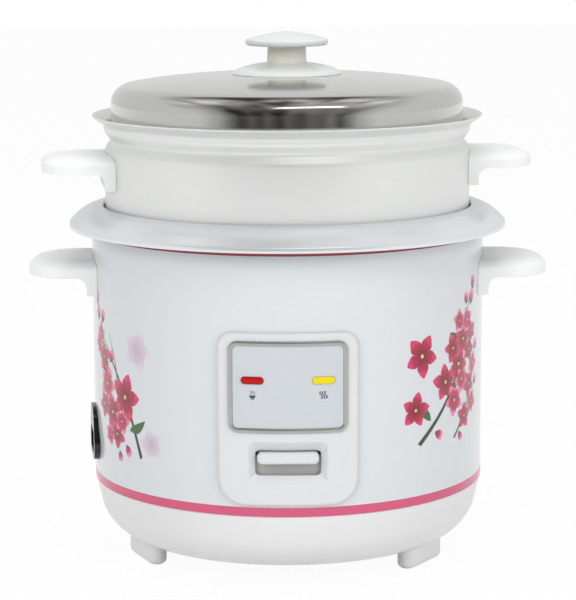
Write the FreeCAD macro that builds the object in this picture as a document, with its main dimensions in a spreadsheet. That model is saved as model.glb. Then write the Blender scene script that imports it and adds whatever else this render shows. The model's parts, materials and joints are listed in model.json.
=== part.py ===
import FreeCAD, Part
import math
import os
from types import SimpleNamespace

import Sketcher
from FreeCAD import Placement, Rotation, Vector

# Rice cooker with a steamer tray. Millimetres, +Z up, the control panel faces -Y.
# The origin is on the axis of the body, level with the undersides of the feet.

SIZES = {
    # Outer shell: a steel sleeve whose top edge is turned in.
    "shell_radius": 125.2,
    "shell_sheet": 0.8,
    "shell_height": 167.4,
    "shell_rim_turn": 5.6,
    "lamp_window_side": 14.0,
    "lamp_window_half": 8.0,
    "scoop_window_gap": 1.1,
    "inlet_window_gap": 0.5,
    # Base moulding and feet.
    "base_floor": 12.0,
    "base_wall": 2.5,
    "base_edge_inset": 0.3,
    "base_hip_inset": 5.1,
    "base_knee_inset": 7.2,
    "base_flat_inset": 9.6,
    "base_knee_rise": 5.4,
    "base_hip_rise": 10.6,
    "base_side_rise": 20.6,
    "vent_count": 12,
    "vent_inner": 36.0,
    "vent_length": 24.0,
    "vent_width": 4.0,
    "foot_overhang": 1.2,
    "foot_width": 12.4,
    "foot_half_length": 21.3,
    "foot_edge": 3.6,
    "foot_angle": 62.0,
    "foot_turn": 4.2,
    # Inner liner that shields the shell and carries the heater.
    "liner_gap": 9.6,
    "liner_sheet": 0.6,
    "liner_floor_rise": 35.4,
    "liner_drop": 3.0,
    "liner_hole_gap": 2.5,
    "blade_slot_half_width": 5.0,
    "blade_slot_half_depth": 3.0,
    # Heater plate, the blades it is fed through and the posts under the liner.
    "plate_rise": 16.0,
    "plate_thickness": 10.0,
    "plate_inset": 22.5,
    "plate_hole_gap": 1.0,
    "plate_lug_inset": 18.0,
    "plate_lug_half": 6.0,
    "blade_spread": 24.0,
    "blade_back": 60.0,
    "blade_drop": 16.0,
    "blade_half_width": 3.15,
    "blade_half_sheet": 0.5,
    "post_inset": 19.6,
    "post_half": 4.5,
    "post_angle": -30.0,
    # Inner pot.
    "pot_side_gap": 3.1,
    "pot_sheet": 1.5,
    "pot_seat_gap": 0.3,
    "pot_corner": 11.0,
    "pot_ledge_width": 4.8,
    "pot_mouth_rise": 9.0,
    "flange_overhang": 14.3,
    "flange_slope_width": 9.9,
    "flange_knee_drop": 3.0,
    "flange_slope_drop": 8.4,
    "flange_lip": 2.2,
    # Steamer tray.
    "steamer_side_gap": 1.0,
    "steamer_sheet": 1.0,
    "steamer_seat_gap": 0.3,
    "steamer_wall_height": 44.1,
    "steamer_groove_depth": 3.9,
    "steamer_groove_rise": 5.4,
    "steamer_band_step": 0.4,
    "steamer_band_rise": 5.6,
    "steamer_band_height": 4.2,
    "steamer_rim_flare": 7.8,
    "steamer_rim_rise": 5.2,
    "steamer_turn": 7.4,
    "steam_slot_count": 12,
    "steam_slot_width": 4.4,
    "steam_slot_inner": 28.0,
    "steam_slot_length": 26.0,
    "steam_slot_step": 36.0,
    # Lid and knob.
    "lid_rim_gap": 1.9,
    "lid_rim_width": 2.7,
    "lid_sheet": 0.8,
    "lid_seat_rise": 1.0,
    "lid_side_height": 17.6,
    "lid_shoulder_inset": 7.9,
    "lid_shoulder_rise": 8.8,
    "lid_slope_width": 28.2,
    "lid_crown_rise": 6.4,
    "collar_radius": 35.2,
    "collar_side": 1.6,
    "collar_slope_width": 20.2,
    "collar_rise": 6.7,
    "knob_stem_radius": 12.4,
    "knob_stem_length": 10.4,
    "knob_cap_radius": 26.4,
    "knob_cap_side": 4.5,
    "knob_slope_width": 14.4,
    "knob_crown_rise": 5.2,
    # Carrying handles on the shell and on the steamer.
    "handle_reach": 40.1,
    "handle_half_width": 36.0,
    "handle_corner": 27.0,
    "handle_drop": 25.6,
    "handle_thickness": 10.2,
    "handle_root_drop": 11.2,
    "tray_handle_reach": 40.1,
    "tray_handle_half_width": 34.0,
    "tray_handle_corner": 24.0,
    "tray_handle_drop": 3.4,
    "tray_handle_thickness": 9.6,
    "tray_handle_root_drop": 10.6,
    "handle_root_depth": 1.7,
    "handle_root_round": 6.5,
    "handle_crown": 4.0,
    "handle_wall": 5.0,
    "handle_hollow_gap": 2.0,
    "handle_seat_gap": 0.1,
    # Control panel, bezel, label and lenses.
    "panel_half_width": 42.8,
    "panel_margin": 7.0,
    "panel_top_margin": 4.7,
    "panel_standoff": 0.3,
    "panel_thickness": 2.9,
    "panel_top_corner": 9.0,
    "panel_bottom_corner": 17.0,
    "bezel_margin": 6.8,
    "bezel_gap": 5.2,
    "bezel_height": 55.8,
    "bezel_frame": 2.9,
    "bezel_corner": 6.0,
    "bezel_inner_cut": 2.0,
    "bezel_rise": 1.5,
    "bezel_seat_gap": 0.15,
    "label_rise": 0.6,
    "label_side_gap": 0.1,
    "lens_inset": 14.7,
    "lens_drop": 23.7,
    "lens_half_width": 6.85,
    "lens_half_height": 2.2,
    "lens_side_gap": 0.15,
    "lens_cut": 1.6,
    "lens_rise": 0.3,
    "lens_depth": 3.3,
    "lamp_gap": 2.3,
    "lamp_radius": 1.8,
    "lamp_length": 13.0,
    "lamp_strip_gap": 2.7,
    "lamp_strip_overhang": 12.0,
    "lamp_strip_sheet": 0.8,
    "lamp_strip_tab": 1.0,
    "lamp_strip_clear": 0.5,
    "lamp_strip_height": 10.0,
    # Switch recess, knob and lever.
    "slot_margin": 18.2,
    "switch_side_gap": 1.2,
    "switch_top_gap": 0.8,
    "scoop_side_flare": 7.8,
    "scoop_bottom_flare": 6.0,
    "scoop_top_flare": 6.3,
    "scoop_depth": 3.3,
    "scoop_wall": 0.8,
    "scoop_lead": 0.5,
    "scoop_box_margin": 7.0,
    "switch_half_width": 18.6,
    "switch_travel": 7.5,
    "switch_height": 7.3,
    "switch_inset": 1.0,
    "switch_root": 1.8,
    "switch_corner": 3.2,
    "switch_socket_depth": 3.0,
    "switch_socket_gap": 0.1,
    "lever_half_width": 7.0,
    "lever_sheet": 2.0,
    "lever_rise": 5.4,
    "lever_riser_gap": 1.2,
    "shield_overlap": 1.2,
    "shield_rise": 12.0,
    "lever_tail": 10.0,
    "lever_ear": 1.6,
    "ear_foot_half": 7.0,
    "ear_top_half": 3.0,
    "ear_rise": 4.0,
    "rod_eye_gap": 1.5,
    "pivot_back": 60.0,
    "pivot_rise": 6.0,
    "pivot_radius": 2.0,
    "pivot_fit": 0.05,
    "bracket_side_gap": 3.2,
    "bracket_sheet": 1.2,
    "bracket_drop": 4.0,
    "bracket_back_reach": 34.0,
    "bracket_depth": 44.0,
    "pin_overhang": 1.5,
    "pin_press_gap": 0.02,
    "micro_switch_rise": 2.0,
    "micro_switch_height": 11.0,
    "micro_switch_depth": 20.0,
    "micro_switch_gap": 0.05,
    # Magnetic thermostat on the axis.
    "sensor_radius": 14.0,
    "sensor_height": 12.0,
    "magnet_side_gap": 3.0,
    "magnet_travel": 7.8,
    "magnet_height": 6.0,
    "rod_radius": 1.6,
    "rod_overhang": 2.6,
    "rod_collar": 3.6,
    "rod_collar_gap": 0.75,
    "rod_collar_height": 1.6,
    "strap_side_gap": 3.5,
    "strap_sheet": 1.2,
    "strap_clear": 10.6,
    "strap_half_width": 9.0,
    "strap_wing": 8.0,
    "strap_eye_gap": 0.8,
    "spring_inset": 3.0,
    "spring_wire": 1.2,
    "spring_turns": 5,
    "spring_clear": 0.3,
    # Power inlet, turned round the body from the front.
    "inlet_angle": -82.0,
    "inlet_margin": 13.7,
    "inlet_height": 33.5,
    "inlet_top_taper": 10.5,
    "inlet_wide_half": 22.0,
    "inlet_wide_rise": 10.7,
    "inlet_foot_taper": 3.5,
    "inlet_foot_round": 10.0,
    "inlet_wide_round": 14.0,
    "inlet_top_round": 11.0,
    "inlet_seat_gap": 0.2,
    "inlet_rise": 2.0,
    "inlet_flange": 5.5,
    "inlet_body_margin": 1.5,
    "inlet_body_height": 19.0,
    "inlet_depth": 21.4,
    "inlet_wall": 2.5,
    "inlet_cavity_round": 3.0,
    "pin_spread": 6.4,
    "pin_half_width": 1.0,
    "pin_half_height": 2.5,
    "pin_inset": 7.4,
    "pin_tail_length": 7.0,
    # Small electrical parts under the liner floor.
    "terminal_place": 67.0,
    "terminal_half": 9.0,
    "terminal_step": 4.0,
    "terminal_ledge": 7.0,
    "terminal_height": 14.0,
    "terminal_depth": 32.0,
    "fuse_side": 22.0,
    "fuse_back": 36.0,
    "fuse_radius": 2.5,
    "fuse_length": 28.0,
    "keeper_place": 38.0,
    "keeper_half": 6.0,
    "keeper_outer_lug": 12.0,
    "keeper_inner_lug": 8.0,
    "keeper_leaf": 1.5,
    "keeper_height": 9.0,
    "keeper_back": 34.0,
    "keeper_depth": 10.0,
}

# Places that follow from the sizes: the heights are over the feet and the radii from the axis.
PLACES = {
    # Outer shell.
    "shell_top": "shell_bottom + shell_height",
    "shell_rim_radius": "shell_radius - shell_rim_turn",
    # Base moulding and feet.
    "base_edge_radius": "shell_radius - base_edge_inset",
    "base_hip_radius": "base_edge_radius - base_hip_inset",
    "base_knee_radius": "base_hip_radius - base_knee_inset",
    "base_flat_radius": "base_knee_radius - base_flat_inset",
    "base_knee_height": "base_floor + base_knee_rise",
    "base_hip_height": "base_knee_height + base_hip_rise",
    "shell_bottom": "base_hip_height + base_side_rise",
    "vent_outer": "vent_inner + vent_length",
    "foot_outer": "base_flat_radius + foot_overhang",
    "foot_inner": "foot_outer - foot_width",
    # Inner liner that shields the shell and carries the heater.
    "liner_radius": "shell_radius - liner_gap",
    "liner_floor": "shell_bottom + liner_floor_rise",
    "liner_top": "shell_top - liner_drop",
    "liner_centre_hole": "sensor_radius + liner_hole_gap",
    # Heater plate.
    "plate_top": "liner_floor + plate_rise",
    "plate_radius": "pot_radius - plate_inset",
    "plate_hole": "sensor_radius + plate_hole_gap",
    "plate_lug_circle": "plate_radius - plate_lug_inset",
    "post_circle": "liner_radius - post_inset",
    # Inner pot.
    "pot_radius": "liner_radius - pot_side_gap",
    "pot_mouth_radius": "pot_radius + pot_ledge_width",
    "pot_mouth_top": "pot_ledge + pot_mouth_rise",
    "flange_radius": "shell_radius + flange_overhang",
    "flange_knee_radius": "flange_radius - flange_slope_width",
    "flange_knee_height": "pot_mouth_top - flange_knee_drop",
    "flange_edge_top": "flange_knee_height - flange_slope_drop",
    "flange_edge_bottom": "flange_edge_top - flange_lip",
    "pot_ledge": "shell_top",
    # Steamer tray.
    "steamer_radius": "pot_mouth_radius - steamer_side_gap",
    "steamer_floor": "pot_ledge + steamer_seat_gap",
    "steamer_wall_top": "steamer_floor + steamer_wall_height",
    "steamer_groove_radius": "steamer_radius - steamer_groove_depth",
    "steamer_groove_height": "steamer_wall_top + steamer_groove_rise",
    "steamer_band_radius": "steamer_radius + steamer_band_step",
    "steamer_band_bottom": "steamer_groove_height + steamer_band_rise",
    "steamer_band_top": "steamer_band_bottom + steamer_band_height",
    "steamer_rim_radius": "steamer_band_radius + steamer_rim_flare",
    "steamer_rim_height": "steamer_band_top + steamer_rim_rise",
    # Lid and knob.
    "lid_rim_radius": "steamer_band_radius - lid_rim_gap",
    "lid_radius": "lid_rim_radius - lid_rim_width",
    "lid_rim_height": "steamer_band_bottom + lid_seat_rise",
    "lid_turn": "lid_rim_height + lid_side_height",
    "lid_shoulder_radius": "lid_radius - lid_shoulder_inset",
    "lid_shoulder": "lid_turn + lid_shoulder_rise",
    "lid_crown_reach": "lid_shoulder_radius - lid_slope_width",
    "lid_crown": "lid_shoulder + lid_crown_rise",
    "collar_edge": "lid_crown + collar_side",
    "collar_neck_radius": "collar_radius - collar_slope_width",
    "collar_top": "collar_edge + collar_rise",
    "knob_cap_bottom": "collar_top + knob_stem_length",
    "knob_cap_edge": "knob_cap_bottom + knob_cap_side",
    "knob_crown_radius": "knob_cap_radius - knob_slope_width",
    "knob_top": "knob_cap_edge + knob_crown_rise",
    # Carrying handles on the shell and on the steamer.
    "handle_tip": "shell_radius + handle_reach",
    "handle_top": "shell_top - handle_drop",
    "handle_underside": "handle_top - handle_thickness",
    "handle_root_bottom": "handle_underside - handle_root_drop",
    "tray_handle_tip": "steamer_radius + tray_handle_reach",
    "tray_handle_top": "steamer_wall_top - tray_handle_drop",
    "tray_handle_underside": "tray_handle_top - tray_handle_thickness",
    "tray_handle_root_bottom": "tray_handle_underside - tray_handle_root_drop",
    # Control panel.
    "panel_bottom": "shell_bottom + panel_margin",
    "panel_top": "bezel_top + panel_top_margin",
    "panel_back": "shell_radius + panel_standoff",
    "panel_face": "panel_back + panel_thickness",
    "bezel_half_width": "panel_half_width - bezel_margin",
    "bezel_bottom": "scoop_top + bezel_gap",
    "bezel_top": "bezel_bottom + bezel_height",
    "bezel_face": "panel_face + bezel_rise",
    "label_face": "panel_face + label_rise",
    "lens_spread": "bezel_half_width - lens_inset",
    "lens_height": "bezel_top - lens_drop",
    "lens_face": "bezel_face + lens_rise",
    "lens_back": "panel_back - lens_depth",
    "lamp_back": "lens_back - lamp_gap",
    "lamp_strip": "lamp_back - lamp_strip_gap",
    # Switch recess.
    "slot_bottom": "panel_bottom + slot_margin",
    "slot_half_width": "switch_half_width + switch_side_gap",
    "slot_top": "switch_top + switch_top_gap",
    "scoop_half_width": "slot_half_width + scoop_side_flare",
    "scoop_bottom": "slot_bottom - scoop_bottom_flare",
    "scoop_top": "slot_top + scoop_top_flare",
    "scoop_back": "panel_back - scoop_depth",
    "switch_bottom": "slot_bottom + switch_travel",
    "switch_top": "switch_bottom + switch_height",
    "switch_front": "panel_face - switch_inset",
    "switch_back": "scoop_back - switch_root",
    "lever_bar_bottom": "shell_bottom + lever_rise",
    "lever_riser": "switch_back - lever_riser_gap",
    "shield_half_width": "slot_half_width + shield_overlap",
    "shield_bottom": "lever_bar_bottom + shield_rise",
    "pivot_height": "lever_bar_bottom + pivot_rise",
    "bracket_inside": "lever_half_width + bracket_side_gap",
    # Magnetic thermostat on the axis.
    "sensor_bottom": "plate_top - sensor_height",
    "magnet_radius": "spring_radius - magnet_side_gap",
    "magnet_top": "sensor_bottom - magnet_travel",
    "magnet_bottom": "magnet_top - magnet_height",
    "rod_bottom": "lever_bar_bottom - rod_overhang",
    "strap_inside": "sensor_radius + strap_side_gap",
    "strap_floor": "magnet_bottom - strap_clear",
    "spring_radius": "sensor_radius - spring_inset",
    # Power inlet.
    "inlet_bottom": "shell_bottom + inlet_margin",
    "inlet_top": "inlet_bottom + inlet_height",
    "inlet_top_half": "inlet_wide_half - inlet_top_taper",
    "inlet_wide_height": "inlet_bottom + inlet_wide_rise",
    "inlet_foot_half": "inlet_wide_half - inlet_foot_taper",
    "inlet_seat": "shell_radius + inlet_seat_gap",
    "inlet_face": "inlet_seat + inlet_rise",
    "inlet_body_half": "inlet_wide_half - inlet_flange",
    "inlet_body_bottom": "inlet_bottom + inlet_body_margin",
    "inlet_body_top": "inlet_body_bottom + inlet_body_height",
    "inlet_back": "inlet_seat - inlet_depth",
    "pin_tip": "inlet_face - pin_inset",
    "pin_tail": "inlet_back - pin_tail_length",
}

doc = FreeCAD.newDocument("rice_cooker")
sheet = doc.addObject("Spreadsheet::Sheet", "Sizes")
rules = {name: "=" + rule for name, rule in PLACES.items()}
cells = {**SIZES, **rules}
for row, alias in enumerate(cells, start=1):
    sheet.set(f"A{row}", alias)
    sheet.setAlias(f"B{row}", alias)
for row, content in enumerate(cells.values(), start=1):
    sheet.set(f"B{row}", str(content))
doc.recompute()


class Size:
    """A number that keeps the sheet expression it comes from."""

    def __init__(self, value, text):
        self.value = value
        self.text = text

    def __add__(self, other):
        other = as_size(other)
        return Size(self.value + other.value, f"({self.text} + {other.text})")

    def __sub__(self, other):
        other = as_size(other)
        return Size(self.value - other.value, f"({self.text} - {other.text})")

    def __mul__(self, other):
        other = as_size(other)
        return Size(self.value * other.value, f"({self.text} * {other.text})")

    def __truediv__(self, other):
        other = as_size(other)
        return Size(self.value / other.value, f"({self.text} / {other.text})")

    def __neg__(self):
        return Size(-self.value, f"(-{self.text})")

    def __radd__(self, other):
        return as_size(other) + self

    def __rsub__(self, other):
        return as_size(other) - self

    def __rmul__(self, other):
        return as_size(other) * self


def as_size(number):
    """Accept a plain number wherever a size is expected."""
    if isinstance(number, Size):
        return number
    return Size(float(number), f"({float(number)})")


def depth_at(radius, side):
    """How far in front of the axis a round wall is, at a place to one side."""
    value = math.sqrt(radius.value**2 - side.value**2)
    return Size(value, f"sqrt({radius.text} ^ 2 - {side.text} ^ 2)")


s = SimpleNamespace()
for name in (*SIZES, *PLACES):
    setattr(s, name, Size(float(getattr(sheet, name)), f"Sizes.{name}"))
nodes = {}


def bind(item, path, size):
    """Set one property of an object from the sheet."""
    item.setExpression(path, as_size(size).text)


def add_node(item, label):
    """Name a finished sub-part and list it for export."""
    item.Label = label
    nodes[label] = item
    return item


def new_body(label, base=None):
    """Start a body, empty or on top of a finished blank."""
    body = doc.addObject("PartDesign::Body", label)
    if base is not None:
        body.BaseFeature = base
        doc.recompute()
    return add_node(body, label)


def origin_feature(body, role):
    return next(item for item in body.Origin.OriginFeatures if item.Role == role)


def new_sketch(body, plane, offset=0, turn=None):
    """Start a sketch on a plane of the body, moved along its normal or turned about Z."""
    sketch = body.newObject("Sketcher::SketchObject", "sketch")
    sketch.AttachmentSupport = [(origin_feature(body, plane), "")]
    sketch.MapMode = "FlatFace"
    if turn is not None:
        sketch.AttachmentOffset = Placement(Vector(), Rotation(Vector(0, 1, 0), 0))
        bind(sketch, "AttachmentOffset.Rotation.Angle", turn)
    bind(sketch, "AttachmentOffset.Base.z", offset)
    return sketch


def tie(sketch, geometry, point, x, y):
    """Hold a point of a sketch at a place given by two sizes."""
    for kind, axis, size in (("DistanceX", -2, as_size(x)), ("DistanceY", -1, as_size(y))):
        if size.value == 0:
            sketch.addConstraint(Sketcher.Constraint("PointOnObject", geometry, point, axis))
            continue
        index = sketch.addConstraint(
            Sketcher.Constraint(kind, -1, 1, geometry, point, size.value)
        )
        bind(sketch, f"Constraints[{index}]", size)


def corner_arc(before, corner, after, radius):
    """The arc that rounds a corner: its ends, the arc, and whether it runs onwards."""
    inward = (before - corner).normalize()
    outward = (after - corner).normalize()
    half = inward.getAngle(outward) / 2
    enter = corner + inward * (radius / math.tan(half))
    leave = corner + outward * (radius / math.tan(half))
    centre = corner + (inward + outward).normalize() * (radius / math.sin(half))
    onwards = outward.cross(inward).z > 0
    first, last = (enter, leave) if onwards else (leave, enter)
    start = math.atan2(first.y - centre.y, first.x - centre.x)
    stop = math.atan2(last.y - centre.y, last.x - centre.x)
    arc = Part.ArcOfCircle(Part.Circle(centre, Vector(0, 0, 1), radius), start, stop)
    return enter, leave, arc, onwards


def outline(sketch, corners, closed=True):
    """Draw lines through corners (x, y) or (x, y, radius) and tie each corner to the sheet."""
    count = len(corners)
    points = [Vector(as_size(c[0]).value, as_size(c[1]).value, 0) for c in corners]
    enters, leaves, arcs = list(points), list(points), {}
    for i, corner in enumerate(corners):
        if len(corner) == 3:
            radius = as_size(corner[2]).value
            enter, leave, arc, onwards = corner_arc(
                points[i - 1], points[i], points[(i + 1) % count], radius
            )
            enters[i], leaves[i], arcs[i] = enter, leave, (arc, onwards)
    lines = []
    for i in range(count if closed else count - 1):
        segment = Part.LineSegment(leaves[i], enters[(i + 1) % count])
        lines.append(sketch.addGeometry(segment))
    for i, corner in enumerate(corners):
        if not closed and i == 0:
            tie(sketch, lines[0], 1, *corner)
        elif not closed and i == count - 1:
            tie(sketch, lines[-1], 2, *corner)
        elif i in arcs:
            join_with_arc(sketch, lines[i - 1], lines[i], corner, points[i], *arcs[i])
        else:
            sketch.addConstraint(Sketcher.Constraint("Coincident", lines[i - 1], 2, lines[i], 1))
            tie(sketch, lines[i], 1, *corner)


def join_with_arc(sketch, line_in, line_out, corner, point, arc, onwards):
    """Round the corner between two lines, keeping the sharp corner as the dimensioned point."""
    arc_index = sketch.addGeometry(arc)
    mark = sketch.addGeometry(Part.Point(point), True)
    near, far = (1, 2) if onwards else (2, 1)
    sketch.addConstraint(Sketcher.Constraint("Tangent", line_in, 2, arc_index, near))
    sketch.addConstraint(Sketcher.Constraint("Tangent", line_out, 1, arc_index, far))
    sketch.addConstraint(Sketcher.Constraint("PointOnObject", mark, 1, line_in))
    sketch.addConstraint(Sketcher.Constraint("PointOnObject", mark, 1, line_out))
    tie(sketch, mark, 1, corner[0], corner[1])
    radius = as_size(corner[2])
    index = sketch.addConstraint(Sketcher.Constraint("Radius", arc_index, radius.value))
    bind(sketch, f"Constraints[{index}]", radius)


def circle(sketch, x, y, radius):
    """Draw a circle whose centre and radius come from the sheet."""
    x, y, radius = as_size(x), as_size(y), as_size(radius)
    ring = Part.Circle(Vector(x.value, y.value, 0), Vector(0, 0, 1), radius.value)
    index = sketch.addGeometry(ring)
    tie(sketch, index, 3, x, y)
    constraint = sketch.addConstraint(Sketcher.Constraint("Radius", index, radius.value))
    bind(sketch, f"Constraints[{constraint}]", radius)


def rectangle(left, bottom, right, top, radius=None):
    """Corners of a rectangle, rounded when a radius is given."""
    corners = [(left, bottom), (right, bottom), (right, top), (left, top)]
    if radius is None:
        return corners
    return [(x, y, radius) for x, y in corners]


def cut_corners(left, bottom, right, top, cut):
    """Corners of a rectangle whose four corners are cut off at a slant."""
    return [
        (left + cut, bottom),
        (right - cut, bottom),
        (right, bottom + cut),
        (right, top - cut),
        (right - cut, top),
        (left + cut, top),
        (left, top - cut),
        (left, bottom + cut),
    ]


def pad(body, sketch, length, centred=False):
    feature = body.newObject("PartDesign::Pad", "pad")
    feature.Profile = sketch
    feature.Midplane = centred
    bind(feature, "Length", length)
    doc.recompute()
    return feature


def pocket(body, sketch, length, along_normal=False, centred=False):
    feature = body.newObject("PartDesign::Pocket", "pocket")
    feature.Profile = sketch
    feature.Reversed = along_normal
    feature.Midplane = centred
    bind(feature, "Length", length)
    doc.recompute()
    return feature


def spin(body, sketch, kind="Revolution", angle=360, centred=False):
    """Turn a section about the upright axis of its sketch, adding or cutting."""
    feature = body.newObject("PartDesign::" + kind, kind.lower())
    feature.Profile = sketch
    feature.ReferenceAxis = (sketch, ["V_Axis"])
    feature.Midplane = centred
    bind(feature, "Angle", angle)
    doc.recompute()
    return feature


def polar(body, features, count):
    """Repeat features round the axis of the body."""
    pattern = body.newObject("PartDesign::PolarPattern", "ring")
    pattern.Originals = features
    pattern.Axis = (origin_feature(body, "Z_Axis"), [""])
    pattern.Angle = 360
    bind(pattern, "Occurrences", count)
    body.Tip = pattern
    doc.recompute()
    return pattern


def bevel_edges(body, wanted, size):
    """Chamfer the edges of the body that the test picks out."""
    tip = body.Tip
    names = [f"Edge{i}" for i, edge in enumerate(tip.Shape.Edges, start=1) if wanted(edge)]
    chamfer = body.newObject("PartDesign::Chamfer", "chamfer")
    chamfer.Base = (tip, names)
    bind(chamfer, "Size", size)
    doc.recompute()
    return chamfer


def spun_body(label, corners):
    """A solid of revolution from a closed half section."""
    body = new_body(label)
    section = new_sketch(body, "XZ_Plane")
    outline(section, corners)
    spin(body, section)
    return body


def spun_sheet(label, corners, thickness):
    """A vessel spun from sheet: an open half section, thickened to one side and revolved."""
    section = doc.addObject("Sketcher::SketchObject", label + "_section")
    section.Placement = Placement(Vector(), Rotation(Vector(1, 0, 0), 90))
    outline(section, corners, closed=False)
    skin = doc.addObject("Part::Offset2D", label + "_skin")
    skin.Source = section
    skin.Mode = "Skin"
    skin.Join = "Intersection"
    skin.Fill = True
    bind(skin, "Value", thickness)
    blank = doc.addObject("Part::Revolution", label + "_blank")
    blank.Source = skin
    blank.Axis = Vector(0, 0, 1)
    blank.Angle = 360
    doc.recompute()
    return blank


def cut_window(body, corners, turn=None):
    """Cut an opening through a wall, outwards from the axis."""
    sketch = new_sketch(body, "XZ_Plane", turn=turn)
    outline(sketch, corners)
    return pocket(body, sketch, s.shell_radius * 1.2, along_normal=True)


def curved_plate(label, corners, inner, outer, hole=None):
    """A plate with the given outline that follows the curve of the shell."""
    body = new_body(label)
    face = new_sketch(body, "XZ_Plane")
    outline(face, corners)
    if hole is not None:
        outline(face, hole)
    pad(body, face, outer * 1.1)
    trim_to_ring(body, inner, outer)
    return body


def trim_to_ring(body, inner, outer):
    """Keep only what lies between two upright cylinders."""
    core = new_sketch(body, "XZ_Plane")
    outline(core, rectangle(0, 0, inner, s.shell_top))
    spin(body, core, "Groove")
    trim_outside(body, outer)


def trim_outside(body, radius):
    """Cut away what lies outside an upright cylinder."""
    around = new_sketch(body, "XZ_Plane")
    outline(around, rectangle(radius, 0, radius * 1.3, s.shell_top))
    spin(body, around, "Groove")


def turn_about_axis(body, angle):
    """Turn a finished body about the upright axis."""
    body.Placement = Placement(Vector(), Rotation(Vector(0, 0, 1), 0))
    bind(body, "Placement.Rotation.Angle", angle)


def slot_outline(margin):
    """The outline of the switch slot, or one that stands outside it by a margin."""
    side = s.slot_half_width + margin
    return rectangle(-side, s.slot_bottom - margin, side, s.slot_top + margin)


def make_shell():
    blank = spun_sheet(
        "shell",
        [
            (s.shell_radius, s.shell_bottom),
            (s.shell_radius, s.shell_top),
            (s.shell_rim_radius, s.shell_top),
        ],
        s.shell_sheet,
    )
    body = new_body("outer_shell", blank)
    side = s.lens_spread + s.lamp_window_side
    high = s.lamp_window_half
    cut_window(body, rectangle(-side, s.lens_height - high, side, s.lens_height + high))
    cut_window(body, slot_outline(s.scoop_box_margin + s.scoop_window_gap))
    gap = s.inlet_window_gap
    side = s.inlet_body_half + gap
    inlet_hole = rectangle(-side, s.inlet_body_bottom - gap, side, s.inlet_body_top + gap)
    cut_window(body, inlet_hole, s.inlet_angle)


def make_base():
    wall = s.base_wall
    body = spun_body(
        "base_cover",
        [
            (0, s.base_floor),
            (s.base_flat_radius, s.base_floor),
            (s.base_knee_radius, s.base_knee_height),
            (s.base_hip_radius, s.base_hip_height),
            (s.base_edge_radius, s.shell_bottom),
            (s.base_edge_radius - wall, s.shell_bottom),
            (s.base_hip_radius - wall * 1.2, s.base_hip_height),
            (s.base_flat_radius, s.base_floor + wall),
            (0, s.base_floor + wall),
        ],
    )
    slot = new_sketch(body, "XY_Plane")
    half = s.vent_width / 2
    outline(slot, rectangle(s.vent_inner, -half, s.vent_outer, half))
    polar(body, [pocket(body, slot, s.shell_bottom, along_normal=True)], s.vent_count)


def make_feet():
    for name, angle in (("left", -s.foot_angle), ("right", s.foot_angle), ("rear", 180)):
        body = new_body("foot_" + name)
        plan = new_sketch(body, "XY_Plane")
        half = s.foot_half_length
        slant = (s.foot_outer - s.foot_inner) / 3
        outline(
            plan,
            [
                (s.foot_inner, slant - half),
                (s.foot_inner + slant, -half),
                (s.foot_outer - slant, -half),
                (s.foot_outer, slant - half),
                (s.foot_outer, half - slant),
                (s.foot_outer - slant, half),
                (s.foot_inner + slant, half),
                (s.foot_inner, half - slant),
            ],
        )
        pad(body, plan, s.base_floor)
        bevel_edges(body, lambda edge: edge.BoundBox.ZMax < 0.01, s.foot_edge)
        turn_about_axis(body, angle - s.foot_turn - 90)


def make_liner():
    blank = spun_sheet(
        "liner",
        [
            (s.liner_centre_hole, s.liner_floor),
            (s.liner_radius, s.liner_floor),
            (s.liner_radius, s.liner_top),
        ],
        -s.liner_sheet,
    )
    body = new_body("inner_liner", blank)
    slots = new_sketch(body, "XY_Plane")
    for side in (-1, 1):
        middle = side * s.blade_spread
        wide = s.blade_slot_half_width
        deep = s.blade_slot_half_depth
        back = s.blade_back
        outline(slots, rectangle(middle - wide, back - deep, middle + wide, back + deep))
    pocket(body, slots, s.plate_top, along_normal=True)


def make_heater():
    bottom = s.plate_top - s.plate_thickness
    plate = spun_body("heater_plate", rectangle(s.plate_hole, bottom, s.plate_radius, s.plate_top))
    lug = new_sketch(plate, "XY_Plane", s.liner_floor)
    half = s.plate_lug_half
    outline(lug, rectangle(-half, -(s.plate_lug_circle + half), half, half - s.plate_lug_circle))
    polar(plate, [pad(plate, lug, s.plate_thickness)], 3)
    blades = new_body("heater_blades")
    ends = new_sketch(blades, "XY_Plane", bottom - s.blade_drop)
    for side in (-1, 1):
        middle = side * s.blade_spread
        wide = s.blade_half_width
        thin = s.blade_half_sheet
        back = s.blade_back
        outline(ends, rectangle(middle - wide, back - thin, middle + wide, back + thin))
    pad(blades, ends, s.blade_drop)
    posts = new_body("tie_posts")
    foot = new_sketch(posts, "XY_Plane", s.base_floor + s.base_wall)
    half = s.post_half
    outline(foot, rectangle(s.post_circle - half, -half, s.post_circle + half, half))
    column = pad(posts, foot, s.liner_floor - s.liner_sheet - s.base_floor - s.base_wall)
    polar(posts, [column], 3)
    turn_about_axis(posts, s.post_angle)


def make_pot():
    floor = s.plate_top + s.pot_seat_gap + s.pot_sheet
    blank = spun_sheet(
        "pot",
        [
            (0, floor),
            (s.pot_radius - s.pot_corner, floor),
            (s.pot_radius, floor + s.pot_corner),
            (s.pot_radius, s.pot_ledge),
            (s.pot_mouth_radius, s.pot_ledge),
            (s.pot_mouth_radius, s.pot_mouth_top),
            (s.flange_knee_radius, s.flange_knee_height),
            (s.flange_radius, s.flange_edge_top),
            (s.flange_radius, s.flange_edge_bottom),
        ],
        -s.pot_sheet,
    )
    new_body("inner_pot", blank)


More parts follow.
